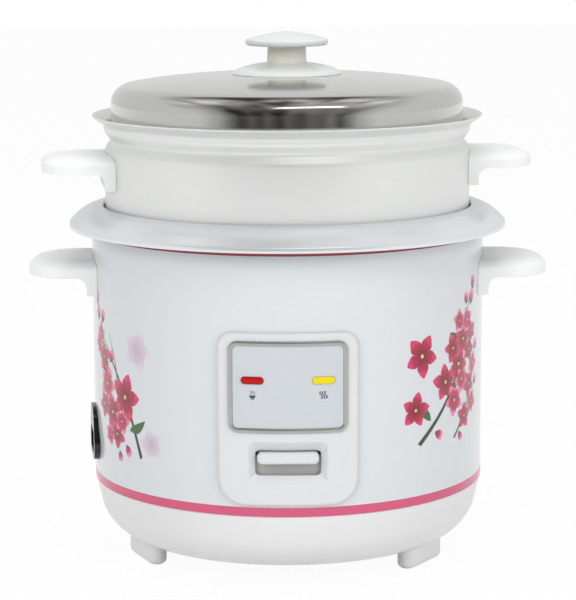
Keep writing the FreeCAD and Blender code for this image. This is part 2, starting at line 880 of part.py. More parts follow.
def make_steamer():
    blank = spun_sheet(
        "steamer",
        [
            (0, s.steamer_floor),
            (s.steamer_radius, s.steamer_floor),
            (s.steamer_radius, s.steamer_wall_top),
            (s.steamer_groove_radius, s.steamer_groove_height),
            (s.steamer_band_radius, s.steamer_band_bottom),
            (s.steamer_band_radius, s.steamer_band_top),
            (s.steamer_rim_radius, s.steamer_rim_height),
        ],
        s.steamer_sheet,
    )
    body = new_body("steamer_tray", blank)
    half = s.steam_slot_width / 2
    for ring in (0, 1):
        slot = new_sketch(body, "XY_Plane")
        inner = s.steam_slot_inner + s.steam_slot_step * ring
        outline(slot, rectangle(inner, -half, inner + s.steam_slot_length, half))
        cut = pocket(body, slot, s.steamer_wall_top, along_normal=True)
        polar(body, [cut], s.steam_slot_count)
    turn_about_axis(body, s.steamer_turn)


def make_handle(label, wall, tip, half_width, corner, top, underside, root_bottom, turn):
    """A shelf-shaped grip, hollow underneath, with a root that spreads down its wall."""
    body = new_body(label)
    inside = wall * 0.8
    plan = new_sketch(body, "XY_Plane", root_bottom)
    outline(
        plan,
        [
            (inside, -half_width),
            (tip, -half_width, corner),
            (tip, half_width, corner),
            (inside, half_width),
        ],
    )
    pad(body, plan, top - root_bottom)

    def crowned(edge):
        box = edge.BoundBox
        return box.ZMin > top.value - 0.01 and box.XMax > inside.value + 0.01

    bevel_edges(body, crowned, s.handle_crown)
    below = new_sketch(body, "XZ_Plane")
    root = wall + s.handle_root_depth
    outline(
        below,
        [
            (root, root_bottom - s.handle_wall),
            (tip + s.handle_wall, root_bottom - s.handle_wall),
            (tip + s.handle_wall, underside),
            (root, underside, s.handle_root_round),
        ],
    )
    pocket(body, below, half_width * 3, centred=True)
    seat = new_sketch(body, "XY_Plane", root_bottom - 1)
    circle(seat, 0, 0, wall + s.handle_seat_gap)
    pocket(body, seat, s.handle_tip, along_normal=True)
    hollow = new_sketch(body, "XY_Plane", underside - 1)
    margin = s.handle_wall
    side = half_width - margin
    start = root + s.handle_root_round + s.handle_hollow_gap
    bend = corner * 0.5
    outline(
        hollow,
        [
            (start, -side),
            (tip - margin - bend, -side),
            (tip - margin, bend - side),
            (tip - margin, side - bend),
            (tip - margin - bend, side),
            (start, side),
        ],
    )
    pocket(body, hollow, top - underside - margin / 2, along_normal=True)
    turn_about_axis(body, turn)


def make_handles():
    for name, half_turn in (("right", 0), ("left", 180)):
        make_handle(
            "handle_" + name,
            s.shell_radius,
            s.handle_tip,
            s.handle_half_width,
            s.handle_corner,
            s.handle_top,
            s.handle_underside,
            s.handle_root_bottom,
            as_size(half_turn),
        )
        make_handle(
            "steamer_handle_" + name,
            s.steamer_radius,
            s.tray_handle_tip,
            s.tray_handle_half_width,
            s.tray_handle_corner,
            s.tray_handle_top,
            s.tray_handle_underside,
            s.tray_handle_root_bottom,
            s.steamer_turn + half_turn,
        )


def make_lid():
    blank = spun_sheet(
        "lid",
        [
            (0, s.lid_crown),
            (s.lid_crown_reach, s.lid_crown),
            (s.lid_shoulder_radius, s.lid_shoulder),
            (s.lid_radius, s.lid_turn),
            (s.lid_radius, s.lid_rim_height),
            (s.lid_rim_radius, s.lid_rim_height),
        ],
        -s.lid_sheet,
    )
    new_body("lid_dome", blank)
    spun_body(
        "knob_collar",
        [
            (0, s.lid_crown),
            (s.collar_radius, s.lid_crown),
            (s.collar_radius, s.collar_edge),
            (s.collar_neck_radius, s.collar_top),
            (0, s.collar_top),
        ],
    )
    spun_body(
        "lid_knob",
        [
            (0, s.collar_top),
            (s.knob_stem_radius, s.collar_top),
            (s.knob_stem_radius, s.knob_cap_bottom),
            (s.knob_cap_radius, s.knob_cap_bottom),
            (s.knob_cap_radius, s.knob_cap_edge),
            (s.knob_crown_radius, s.knob_top),
            (0, s.knob_top),
        ],
    )


def make_panel():
    body = curved_plate(
        "control_panel",
        [
            (-s.panel_half_width, s.panel_bottom, s.panel_bottom_corner),
            (s.panel_half_width, s.panel_bottom, s.panel_bottom_corner),
            (s.panel_half_width, s.panel_top, s.panel_top_corner),
            (-s.panel_half_width, s.panel_top, s.panel_top_corner),
        ],
        s.panel_back,
        s.panel_face,
    )
    box = new_sketch(body, "XZ_Plane", s.scoop_back)
    outline(box, slot_outline(s.scoop_box_margin))
    pad(body, box, s.panel_back - s.scoop_back)
    mouth = new_sketch(body, "XZ_Plane", s.panel_face + s.scoop_lead)
    wide = s.scoop_half_width
    outline(mouth, rectangle(-wide, s.scoop_bottom, wide, s.scoop_top))
    throat = new_sketch(body, "XZ_Plane", s.scoop_back + s.scoop_wall)
    outline(throat, slot_outline(0))
    scoop = body.newObject("PartDesign::SubtractiveLoft", "scoop")
    scoop.Profile = mouth
    scoop.Sections = [throat]
    doc.recompute()
    slot = new_sketch(body, "XZ_Plane", s.panel_face)
    outline(slot, slot_outline(0))
    pocket(body, slot, (s.panel_face - s.scoop_back) * 1.3)
    cut_lens_windows(body)


def cut_lens_windows(body):
    """Cut the two openings that the lamp lenses stand in."""
    windows = new_sketch(body, "XZ_Plane")
    wide = s.lens_half_width + s.lens_side_gap
    high = s.lens_half_height + s.lens_side_gap
    for side in (-1, 1):
        middle = side * s.lens_spread
        outline(
            windows,
            cut_corners(
                middle - wide, s.lens_height - high, middle + wide, s.lens_height + high, s.lens_cut
            ),
        )
    pocket(body, windows, s.panel_face * 1.2, along_normal=True)


def make_bezel_and_label():
    frame = s.bezel_frame
    inside = s.bezel_half_width - frame
    seat = s.panel_face + s.bezel_seat_gap
    curved_plate(
        "panel_bezel",
        rectangle(
            -s.bezel_half_width, s.bezel_bottom, s.bezel_half_width, s.bezel_top, s.bezel_corner
        ),
        seat,
        s.bezel_face,
        cut_corners(
            -inside, s.bezel_bottom + frame, inside, s.bezel_top - frame, s.bezel_inner_cut
        ),
    )
    gap = s.label_side_gap
    edge = inside - gap
    label = curved_plate(
        "panel_label",
        cut_corners(
            -edge,
            s.bezel_bottom + frame + gap,
            edge,
            s.bezel_top - frame - gap,
            s.bezel_inner_cut,
        ),
        seat,
        s.label_face,
    )
    cut_lens_windows(label)


def make_lamps():
    wide = s.lens_half_width
    high = s.lens_half_height
    for name, side in (("cook", -1), ("warm", 1)):
        lens = new_body(name + "_lens")
        middle = side * s.lens_spread
        front = new_sketch(lens, "XZ_Plane", s.lens_back)
        outline(
            front,
            cut_corners(
                middle - wide, s.lens_height - high, middle + wide, s.lens_height + high, s.lens_cut
            ),
        )
        pad(lens, front, s.lens_face * 1.1 - s.lens_back)
        trim_outside(lens, s.lens_face)
        lamp = new_body(name + "_lamp")
        bulb = new_sketch(lamp, "YZ_Plane")
        circle(bulb, -s.lamp_back, s.lens_height, s.lamp_radius)
        pad(lamp, bulb, s.lamp_length, centred=True)
        lamp.Placement = Placement(Vector(), Rotation())
        bind(lamp, "Placement.Base.x", middle)
    strip = new_body("lamp_strip")
    plan = new_sketch(strip, "XY_Plane", s.lens_height - s.lamp_strip_height / 2)
    back = -s.lamp_strip
    side = s.lens_spread + s.lamp_strip_overhang
    reach = -depth_at(s.panel_back - s.lamp_strip_clear, side)
    tab = s.lamp_strip_tab
    front = back - s.lamp_strip_sheet
    outline(
        plan,
        [
            (-side, reach),
            (tab - side, reach),
            (tab - side, front),
            (side - tab, front),
            (side - tab, reach),
            (side, reach),
            (side, back),
            (-side, back),
        ],
    )
    pad(strip, plan, s.lamp_strip_height)


def make_switch():
    lever = new_body("switch_lever")
    profile = new_sketch(lever, "YZ_Plane")
    bottom = s.lever_bar_bottom
    thick = s.lever_sheet
    shelf = (s.switch_bottom + s.switch_top) / 2 - thick / 2
    tip = -(s.switch_back + s.switch_socket_depth)
    outline(
        profile,
        [
            (tip, shelf + thick),
            (thick - s.lever_riser, shelf + thick),
            (thick - s.lever_riser, bottom + thick),
            (s.lever_tail, bottom + thick),
            (s.lever_tail, bottom),
            (-s.lever_riser, bottom),
            (-s.lever_riser, shelf),
            (tip, shelf),
        ],
    )
    pad(lever, profile, s.lever_half_width * 2, centred=True)
    shield = new_sketch(lever, "XZ_Plane", s.lever_riser - thick)
    wide = s.shield_half_width
    outline(shield, rectangle(-wide, s.shield_bottom, wide, shelf + thick))
    pad(lever, shield, thick)
    for inner in (-s.lever_half_width, s.lever_half_width - s.lever_ear):
        ear = new_sketch(lever, "YZ_Plane", inner)
        outline(
            ear,
            [
                (-(s.pivot_back + s.ear_foot_half), bottom + thick / 2),
                (-(s.pivot_back - s.ear_foot_half), bottom + thick / 2),
                (-(s.pivot_back - s.ear_top_half), s.pivot_height + s.ear_rise),
                (-(s.pivot_back + s.ear_top_half), s.pivot_height + s.ear_rise),
            ],
        )
        pad(lever, ear, s.lever_ear)
    bore = new_sketch(lever, "YZ_Plane")
    circle(bore, -s.pivot_back, s.pivot_height, s.pivot_radius + s.pivot_fit)
    pocket(lever, bore, s.lever_half_width * 4, centred=True)
    eye = new_sketch(lever, "XY_Plane")
    circle(eye, 0, 0, s.rod_radius + s.rod_eye_gap)
    pocket(lever, eye, s.pivot_height, along_normal=True)

    knob = new_body("switch_knob")
    front = new_sketch(knob, "XZ_Plane", s.switch_back)
    half = s.switch_half_width
    outline(front, rectangle(-half, s.switch_bottom, half, s.switch_top, s.switch_corner))
    pad(knob, front, s.switch_front - s.switch_back)
    socket = new_sketch(knob, "XZ_Plane", s.switch_back)
    gap = s.switch_socket_gap
    side = s.lever_half_width + gap
    outline(socket, rectangle(-side, shelf - gap, side, shelf + thick + gap))
    pocket(knob, socket, s.switch_socket_depth + gap * 2, along_normal=True)

    pin = new_body("lever_pin")
    shaft = new_sketch(pin, "YZ_Plane")
    circle(shaft, -s.pivot_back, s.pivot_height, s.pivot_radius)
    pad(pin, shaft, (s.bracket_inside + s.bracket_sheet + s.pin_overhang) * 2, centred=True)


def make_switch_bracket():
    body = new_body("lever_bracket")
    top = s.liner_floor - s.liner_sheet
    outer = s.bracket_inside + s.bracket_sheet
    low = s.pivot_height - s.bracket_drop
    back = s.pivot_back - s.bracket_back_reach
    crown = new_sketch(body, "XZ_Plane", back)
    outline(
        crown,
        [
            (-outer, low),
            (-s.bracket_inside, low),
            (-s.bracket_inside, top - s.bracket_sheet),
            (s.bracket_inside, top - s.bracket_sheet),
            (s.bracket_inside, low),
            (outer, low),
            (outer, top),
            (-outer, top),
        ],
    )
    pad(body, crown, s.bracket_depth)
    bore = new_sketch(body, "YZ_Plane")
    circle(bore, -s.pivot_back, s.pivot_height, s.pivot_radius + s.pin_press_gap)
    pocket(body, bore, outer * 3, centred=True)

    switch = new_body("micro_switch")
    case = new_sketch(switch, "XZ_Plane", back)
    side = s.bracket_inside - s.micro_switch_gap
    bottom = s.pivot_height + s.micro_switch_rise
    outline(case, rectangle(-side, bottom, side, bottom + s.micro_switch_height))
    pad(switch, case, s.micro_switch_depth)


def make_thermostat():
    spun_body(
        "sensor_cap",
        rectangle(0, s.sensor_bottom, s.sensor_radius, s.plate_top),
    )
    spun_body(
        "magnet",
        rectangle(0, s.magnet_bottom, s.magnet_radius, s.magnet_top),
    )
    rod = spun_body("pull_rod", rectangle(0, s.rod_bottom, s.rod_radius, s.magnet_bottom))
    high = s.lever_bar_bottom + s.lever_sheet + s.rod_collar_gap
    half = s.rod_collar
    for start, tall in (
        (s.rod_bottom, s.lever_bar_bottom - s.rod_collar_gap - s.rod_bottom),
        (high, s.rod_collar_height),
    ):
        keeper = new_sketch(rod, "XY_Plane", start)
        outline(keeper, rectangle(-half, -half, half, half))
        pad(rod, keeper, tall)
    strap = new_body("thermostat_strap")
    under = s.liner_floor - s.liner_sheet
    inside = s.strap_inside
    outside = s.strap_inside + s.strap_sheet
    wing = outside + s.strap_wing
    floor = s.strap_floor
    profile = new_sketch(strap, "XZ_Plane")
    outline(
        profile,
        [
            (-wing, under - s.strap_sheet),
            (-outside, under - s.strap_sheet),
            (-outside, floor),
            (outside, floor),
            (outside, under - s.strap_sheet),
            (wing, under - s.strap_sheet),
            (wing, under),
            (inside, under),
            (inside, floor + s.strap_sheet),
            (-inside, floor + s.strap_sheet),
            (-inside, under),
            (-wing, under),
        ],
    )
    pad(strap, profile, s.strap_half_width * 2, centred=True)
    eye = new_sketch(strap, "XY_Plane")
    half = s.rod_collar + s.strap_eye_gap
    outline(eye, rectangle(-half, -half, half, half))
    pocket(strap, eye, s.sensor_bottom, along_normal=True)


def make_sensor_spring():
    """The spring under the sensor: a square wire bent round the axis in short straight steps."""
    steps = 8
    end_gap = sheet.spring_wire / 2 + sheet.spring_clear
    bottom = sheet.strap_floor + sheet.strap_sheet + end_gap
    top = sheet.sensor_bottom - end_gap
    count = int(steps * sheet.spring_turns)
    path = []
    for i in range(count + 1):
        angle = 2 * math.pi * i / steps
        height = bottom + (top - bottom) * i / count
        path.append(
            Vector(
                sheet.spring_radius * math.cos(angle), sheet.spring_radius * math.sin(angle), height
            )
        )
    along = (path[1] - path[0]).normalize()
    outwards = Vector(1, 0, 0)
    upwards = along.cross(outwards).normalize()
    outwards = upwards.cross(along).normalize()
    half = sheet.spring_wire / 2
    ring = []
    for across, up in ((-1, -1), (1, -1), (1, 1), (-1, 1), (-1, -1)):
        ring.append(path[0] + outwards * (half * across) + upwards * (half * up))
    sweep = Part.BRepOffsetAPI.MakePipeShell(Part.makePolygon(path))
    sweep.add(Part.makePolygon(ring), False, True)
    sweep.setTransitionMode(1)
    sweep.build()
    sweep.makeSolid()
    spring = doc.addObject("Part::Feature", "sensor_spring")
    spring.Shape = Part.Solid(sweep.shape())
    add_node(spring, "sensor_spring")


def make_inlet():
    body = new_body("power_inlet")
    face = new_sketch(body, "XZ_Plane")
    outline(
        face,
        [
            (-s.inlet_foot_half, s.inlet_bottom, s.inlet_foot_round),
            (s.inlet_foot_half, s.inlet_bottom, s.inlet_foot_round),
            (s.inlet_wide_half, s.inlet_wide_height, s.inlet_wide_round),
            (s.inlet_top_half, s.inlet_top, s.inlet_top_round),
            (-s.inlet_top_half, s.inlet_top, s.inlet_top_round),
            (-s.inlet_wide_half, s.inlet_wide_height, s.inlet_wide_round),
        ],
    )
    pad(body, face, s.inlet_face)
    core = new_sketch(body, "XZ_Plane")
    outline(core, rectangle(0, 0, s.inlet_seat, s.shell_top))
    spin(body, core, "Groove")
    box = new_sketch(body, "XZ_Plane", s.inlet_back)
    side = s.inlet_body_half
    outline(box, rectangle(-side, s.inlet_body_bottom, side, s.inlet_body_top))
    pad(body, box, s.inlet_seat - s.inlet_back + 1)
    wall = s.inlet_wall
    deep = s.inlet_back + wall
    cavity = new_sketch(body, "XZ_Plane", deep)
    low = s.inlet_body_bottom + wall
    high = s.inlet_body_top - wall
    outline(cavity, rectangle(wall - side, low, side - wall, high, s.inlet_cavity_round))
    pocket(body, cavity, s.inlet_face * 1.1 - deep, along_normal=True)
    pins = new_body("inlet_pins")
    height = (s.inlet_body_bottom + s.inlet_body_top) / 2
    wide = s.pin_half_width
    high = s.pin_half_height
    slits = new_sketch(body, "XZ_Plane", deep)
    ends = new_sketch(pins, "XZ_Plane", s.pin_tail)
    for hand in (-1, 1):
        middle = hand * s.pin_spread
        blade = rectangle(middle - wide, height - high, middle + wide, height + high)
        outline(ends, blade)
        outline(slits, blade)
    pocket(body, slits, wall * 2)
    pad(pins, ends, s.pin_tip - s.pin_tail)
    for item in (body, pins):
        turn_about_axis(item, s.inlet_angle)


def make_wiring_parts():
    """Small electrical parts hung under the liner floor."""
    under = s.liner_floor - s.liner_sheet
    block = new_body("terminal_block")
    case = new_sketch(block, "XZ_Plane")
    near = s.terminal_place - s.terminal_half
    far = s.terminal_place + s.terminal_half
    ledge = under - s.terminal_ledge
    foot = under - s.terminal_height
    outline(
        case,
        [
            (near, ledge),
            (near + s.terminal_step, ledge),
            (near + s.terminal_step, foot),
            (far - s.terminal_step, foot),
            (far - s.terminal_step, ledge),
            (far, ledge),
            (far, under),
            (near, under),
        ],
    )
    pad(block, case, s.terminal_depth, centred=True)
    fuse = new_body("thermal_fuse")
    sleeve = new_sketch(fuse, "YZ_Plane", s.fuse_side)
    circle(sleeve, s.fuse_back, under - s.fuse_radius, s.fuse_radius)
    pad(fuse, sleeve, s.fuse_length)
    keeper = new_body("warm_thermostat")
    leaf = new_sketch(keeper, "XZ_Plane", -s.keeper_back)
    near = s.keeper_half - s.keeper_place
    far = -(s.keeper_place + s.keeper_half)
    thin = under - s.keeper_leaf
    foot = under - s.keeper_height
    outline(
        leaf,
        [
            (far - s.keeper_outer_lug, thin),
            (far, thin),
            (far, foot),
            (near, foot),
            (near, thin),
            (near + s.keeper_inner_lug, thin),
            (near + s.keeper_inner_lug, under),
            (far - s.keeper_outer_lug, under),
        ],
    )
    pad(keeper, leaf, s.keeper_depth)


make_shell()
make_base()
make_feet()
make_liner()
make_heater()
make_pot()
make_steamer()
make_handles()
make_lid()
make_panel()
make_bezel_and_label()
make_lamps()
make_switch()
make_switch_bracket()
make_thermostat()
make_sensor_spring()
make_inlet()
make_wiring_parts()
doc.recompute()

for item in doc.Objects:
    if "Invalid" in item.State or "Error" in item.State:
        raise RuntimeError(f"{item.Label} did not build: {item.State}")

os.makedirs("parts", exist_ok=True)
for label, item in nodes.items():
    shape = item.Shape
    if shape.isNull() or not shape.isValid() or not shape.Solids:
        raise RuntimeError(f"{label} has no sound shape")
    shape.exportStep(f"parts/{label}.step")
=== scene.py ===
import json
import math

import bmesh
import bpy
from mathutils import Matrix, Vector


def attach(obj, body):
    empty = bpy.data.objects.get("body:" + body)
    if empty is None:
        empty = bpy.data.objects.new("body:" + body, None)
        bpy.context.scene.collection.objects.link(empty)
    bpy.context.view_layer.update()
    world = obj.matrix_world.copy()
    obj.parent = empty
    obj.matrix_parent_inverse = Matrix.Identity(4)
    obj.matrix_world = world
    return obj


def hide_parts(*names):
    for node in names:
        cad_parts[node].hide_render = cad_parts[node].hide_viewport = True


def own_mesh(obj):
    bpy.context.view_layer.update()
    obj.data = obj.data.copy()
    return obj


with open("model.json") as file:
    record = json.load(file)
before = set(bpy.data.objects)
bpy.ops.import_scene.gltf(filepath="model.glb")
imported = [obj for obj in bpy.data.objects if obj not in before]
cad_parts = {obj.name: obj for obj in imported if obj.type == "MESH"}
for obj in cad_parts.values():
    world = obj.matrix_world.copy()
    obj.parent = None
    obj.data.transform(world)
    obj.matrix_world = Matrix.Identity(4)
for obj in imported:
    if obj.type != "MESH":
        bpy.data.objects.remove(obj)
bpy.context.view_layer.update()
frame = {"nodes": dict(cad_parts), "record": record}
cad = frame["nodes"]
body_of = {}
for body, members in frame["record"]["behaviour"]["bodies"].items():
    for member in members:
        body_of[member] = body

MM = 0.001
SHELL_RADIUS = 125.2
PANEL_RADIUS = 128.4
LABEL_RADIUS = 129.0
BEZEL_HALF_WIDTH = 36.0
BEZEL_BAND = 3.0
LENS_SIDE = 21.3
STEAMER_TURN = 7.4
ROUND_STEPS = 160


# Modelling.


def clear_selection():
    if bpy.context.mode != "OBJECT":
        bpy.ops.object.mode_set(mode="OBJECT")
    bpy.ops.object.select_all(action="DESELECT")


def pick(piece):
    """Make a piece the active one and the only one that is selected."""
    clear_selection()
    piece.select_set(True)
    bpy.context.view_layer.objects.active = piece


def apply_place():
    """Put the place, turn and scale of the active piece into its mesh."""
    bpy.ops.object.transform_apply(location=True, rotation=True, scale=True)


def open_piece(piece):
    """Open a piece in edit mode with nothing selected."""
    pick(piece)
    bpy.ops.object.mode_set(mode="EDIT")
    bpy.ops.mesh.select_mode(type="VERT")
    bpy.ops.mesh.select_all(action="DESELECT")


def close_piece(piece, angle=32):
    """Leave edit mode and shade the piece smooth where its faces meet at less than the angle."""
    pick(piece)
    bpy.ops.object.shade_smooth_by_angle(angle=math.radians(angle))


def apply_all(piece):
    """Apply every modifier of a piece in order."""
    pick(piece)
    for modifier in list(piece.modifiers):
        bpy.ops.object.modifier_apply(modifier=modifier.name)


def select_all():
    bpy.ops.mesh.select_all(action="SELECT")


def select_none():
    bpy.ops.mesh.select_all(action="DESELECT")


def select_where(piece, wanted):
    """Select the points of an open piece whose place passes a test."""
    select_none()
    mesh = bmesh.from_edit_mesh(piece.data)
    for point in mesh.verts:
        point.select = wanted(point.co)
    mesh.select_flush_mode()
    bmesh.update_edit_mesh(piece.data)


def face_outwards():
    select_all()
    bpy.ops.mesh.normals_make_consistent(inside=False)


def added(name):
    """The piece that was just added, with its name."""
    piece = bpy.context.object
    piece.name = name
    piece.data.name = name
    return piece


def copy_piece(piece):
    """A copy of a piece with a mesh of its own."""
    twin = piece.copy()
    twin.data = piece.data.copy()
    bpy.context.scene.collection.objects.link(twin)
    return twin


def extrude(y=0, z=0):
    """Extrude the selected faces by so many millimetres."""
    step = (0, y * MM, z * MM)
    bpy.ops.mesh.extrude_region_move(TRANSFORM_OT_translate={"value": step})


def select_points(piece, corners):
    """Select the points of an upright profile that lie next to these corners."""
    select_none()
    mesh = bmesh.from_edit_mesh(piece.data)
    for corner in corners:
        spot = Vector((corner[0] * MM, 0, corner[1] * MM))
        nearest = min(mesh.verts, key=lambda point: (point.co - spot).length)
        nearest.select = True
    mesh.select_flush_mode()
    bmesh.update_edit_mesh(piece.data)


def turn(name, corners, steps=ROUND_STEPS):
    """Turn a profile round the upright axis. A corner is radius, height and, where it is
    rounded, how far from the corner the rounding starts."""
    clear_selection()
    bpy.ops.mesh.primitive_plane_add(size=MM)
    piece = added(name)
    open_piece(piece)
    select_all()
    bpy.ops.mesh.merge(type="CENTER")
    bpy.ops.transform.translate(value=(corners[0][0] * MM, 0, corners[0][1] * MM))
    for here, there in zip(corners, corners[1:]):
        step = ((there[0] - here[0]) * MM, 0, (there[1] - here[1]) * MM)
        bpy.ops.mesh.extrude_vertices_move(TRANSFORM_OT_translate={"value": step})
    if corners[0][0] > 0:
        select_points(piece, [corners[0], corners[-1]])
        bpy.ops.mesh.edge_face_add()
    for corner in corners:
        if len(corner) == 3:
            select_points(piece, [corner])
            segments = 10 if corner[2] > 4 else 5
            bpy.ops.mesh.bevel(offset=corner[2] * MM, segments=segments, affect="VERTICES")
    select_all()
    bpy.ops.mesh.spin(steps=steps, angle=2 * math.pi, center=(0, 0, 0), axis=(0, 0, 1))
    select_all()
    bpy.ops.mesh.remove_doubles(threshold=MM / 500)
    face_outwards()
    close_piece(piece)
    return piece


def box_cutter(name, low, high, turn_degrees=0):
    """A box between two corners, turned about the upright axis, to cut another piece with."""
    clear_selection()
    centre = [(a + b) / 2 * MM for a, b in zip(low, high)]
    bpy.ops.mesh.primitive_cube_add(size=1, location=centre)
    cutter = bpy.context.object
    cutter.name = name
    cutter.scale = [(b - a) * MM for a, b in zip(low, high)]
    apply_place()
    cutter.rotation_euler = (0, 0, math.radians(turn_degrees))
    apply_place()
    return cutter


def join(pieces):
    """Join pieces into the first of them."""
    pick(pieces[0])
    if len(pieces) > 1:
        for piece in pieces:
            piece.select_set(True)
        bpy.ops.object.join()
    return pieces[0]


def combine(piece, tool, operation):
    """Cut a tool's shape out of a piece or make it part of the piece, and throw the tool away."""
    boolean = piece.modifiers.new("combine", "BOOLEAN")
    boolean.operation = operation
    boolean.object = tool
    boolean.solver = "EXACT"
    apply_all(piece)
    bpy.data.objects.remove(tool)


def cut(piece, cutters):
    """Cut the cutters' shapes out of a piece."""
    combine(piece, join(cutters), "DIFFERENCE")
    close_piece(piece)


def turn_piece(piece, degrees):
    """Turn a piece about the upright axis and apply the turn."""
    pick(piece)
    piece.rotation_euler = (0, 0, math.radians(degrees))
    apply_place()


def copy_turned(piece, name, degrees):
    """A copy of a piece, turned about the upright axis."""
    twin = copy_piece(piece)
    twin.name = name
    twin.data.name = name
    turn_piece(twin, degrees)
    return twin


def swell(centre, reach, half_width, rise):
    """Grow the selected face into a soft crown: it is raised in steps and drawn in towards the
    centre, at a slope of one in one at first and then ever flatter."""
    height = 0
    size = [1, 1]
    for inset in (0.4, 0.9, 1.6, 2.6, 4.0, 6.0, 9.0, 13.0, 18.5, 26.0):
        next_height = rise * (1 - math.exp(-inset / rise))
        next_size = [1 - inset / reach, 1 - inset / half_width]
        extrude(z=next_height - height)
        bpy.ops.transform.resize(
            value=(next_size[0] / size[0], next_size[1] / size[1], 1),
            center_override=[part * MM for part in centre],
        )
        height = next_height
        size = next_size


def select_level_faces(piece, height):
    """Select the faces that lie flat at a height and face up."""
    bpy.ops.mesh.select_mode(type="FACE")
    select_none()
    mesh = bmesh.from_edit_mesh(piece.data)
    for face in mesh.faces:
        level = abs(face.calc_center_median().z - height * MM) < MM / 50
        face.select_set(level and face.normal.z > 0.95)
    bmesh.update_edit_mesh(piece.data)


def flat_width(sideways, radius=PANEL_RADIUS):
    """Where a point lies on a flat sheet that is bent round the shell later, from its distance
    to the middle and its distance from the upright axis."""
    return PANEL_RADIUS * math.asin(sideways / radius)


def flat_sheet(name, back, half_width, low, high, corners, cuts=0):
    """An upright face that looks forward, with rounded lower and upper corners, open in edit
    mode and selected. It lies so far behind the panel's face and is cut up for bending."""
    clear_selection()
    bpy.ops.mesh.primitive_plane_add(
        size=1, location=(0, back * MM, (low + high) / 2 * MM), rotation=(math.pi / 2, 0, 0)
    )
    sheet = added(name)
    sheet.scale = (2 * half_width * MM, (high - low) * MM, 1)
    apply_place()
    open_piece(sheet)
    select_all()
    bpy.ops.mesh.delete(type="ONLY_FACE")
    for level, radius in ((low, corners[0]), (high, corners[1])):
        select_where(sheet, lambda place: abs(place.z - level * MM) < MM / 100)
        bpy.ops.mesh.bevel(offset=radius * MM, segments=8, affect="VERTICES")
    if cuts:
        for level in (low, high):
            select_where(sheet, lambda place: abs(place.z - level * MM) < MM / 100)
            bpy.ops.mesh.subdivide(number_cuts=cuts)
    select_all()
    bpy.ops.mesh.edge_face_add()
    mesh = bmesh.from_edit_mesh(sheet.data)
    mesh.faces.ensure_lookup_table()
    if mesh.faces[0].normal.y > 0:
        bpy.ops.mesh.flip_normals()
    return sheet


def raise_face(rows):
    """Raise the selected face in steps. A row is how far it is drawn in and how far it rises."""
    for inwards, up in rows:
        bpy.ops.mesh.inset(thickness=inwards * MM, depth=up * MM)


def round_rows(radius, steps=6):
    """Rows that take a face round a quarter circle."""
    angles = [math.pi / 2 * step / steps for step in range(steps + 1)]
    rows = []
    for here, there in zip(angles, angles[1:]):
        inwards = radius * (math.cos(here) - math.cos(there))
        rows.append((inwards, radius * (math.sin(there) - math.sin(here))))
    return rows


def cut_strips(piece):
    """Cut a flat piece into upright strips, so that it bends evenly."""
    open_piece(piece)
    for step in range(-12, 13):
        select_all()
        bpy.ops.mesh.bisect(plane_co=(step * 3.4 * MM, 0, 0), plane_no=(1, 0, 0))


def bend_round(piece):
    """Bend a flat piece round the upright axis, with the panel's face at its own radius."""
    pick(piece)
    sides = [point.co.x for point in piece.data.vertices]
    bend = piece.modifiers.new("bend", "SIMPLE_DEFORM")
    bend.deform_method = "BEND"
    bend.deform_axis = "Z"
    bend.angle = (max(sides) - min(sides)) / (PANEL_RADIUS * MM)
    apply_all(piece)
    piece.location = (0, -PANEL_RADIUS * MM, 0)
    apply_place()
    close_piece(piece)


def copy_node(node, name):
    """A copy of a CAD piece with its loose triangles merged into clean faces."""
    piece = bpy.data.objects.new(name, cad[node].data.copy())
    piece.data.name = name
    bpy.context.scene.collection.objects.link(piece)
    open_piece(piece)
    select_all()
    bpy.ops.mesh.remove_doubles(threshold=MM / 200)
    bpy.ops.mesh.dissolve_limited(angle_limit=math.radians(0.6))
    bpy.ops.mesh.customdata_custom_splitnormals_clear()
    return piece


def round_edges(piece, width, wanted, segments, sharper_than=28):
    """Round the sharp edges of a piece that a test on their middle picks."""
    open_piece(piece)
    bpy.ops.mesh.select_mode(type="EDGE")
    mesh = bmesh.from_edit_mesh(piece.data)
    limit = math.radians(sharper_than)
    for edge in mesh.edges:
        middle = (edge.verts[0].co + edge.verts[1].co) / (2 * MM)
        sharp = edge.is_manifold and edge.calc_face_angle() > limit
        edge.select_set(bool(sharp and wanted(middle)))
    bmesh.update_edit_mesh(piece.data)
    bpy.ops.mesh.bevel(offset=width * MM, segments=segments, affect="EDGES", clamp_overlap=True)
    close_piece(piece)


def even_shading(piece):
    """Let the large faces decide the shading, so that rounded edges stay narrow."""
    weighted = piece.modifiers.new("even", "WEIGHTED_NORMAL")
    weighted.keep_sharp = True
    apply_all(piece)


def finish_piece(piece, material, body, replaced=()):
    """Give a piece its material and its body, and hide the CAD pieces that it stands for."""
    piece.data.materials.clear()
    piece.data.materials.append(material)
    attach(piece, body)
    if replaced:
        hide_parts(*replaced)


# Materials.


def new_group(name, inputs, outputs):
    """A node group with its two end nodes. Its inputs have names and values."""
    group = bpy.data.node_groups.new(name, "ShaderNodeTree")
    for side, labels in (("INPUT", inputs), ("OUTPUT", outputs)):
        for label in labels:
            kind = "NodeSocketColor" if label == "Colour" else "NodeSocketFloat"
            socket = group.interface.new_socket(label, in_out=side, socket_type=kind)
            if side == "INPUT":
                socket.default_value = inputs[label]
    return group, group.nodes.new("NodeGroupInput"), group.nodes.new("NodeGroupOutput")


def fill(tree, node, inputs):
    """Fill inputs of a node with plain values or with sockets, which are wired to them."""
    for key, value in inputs.items():
        if isinstance(value, bpy.types.NodeSocket):
            tree.links.new(value, node.inputs[key])
        else:
            node.inputs[key].default_value = value


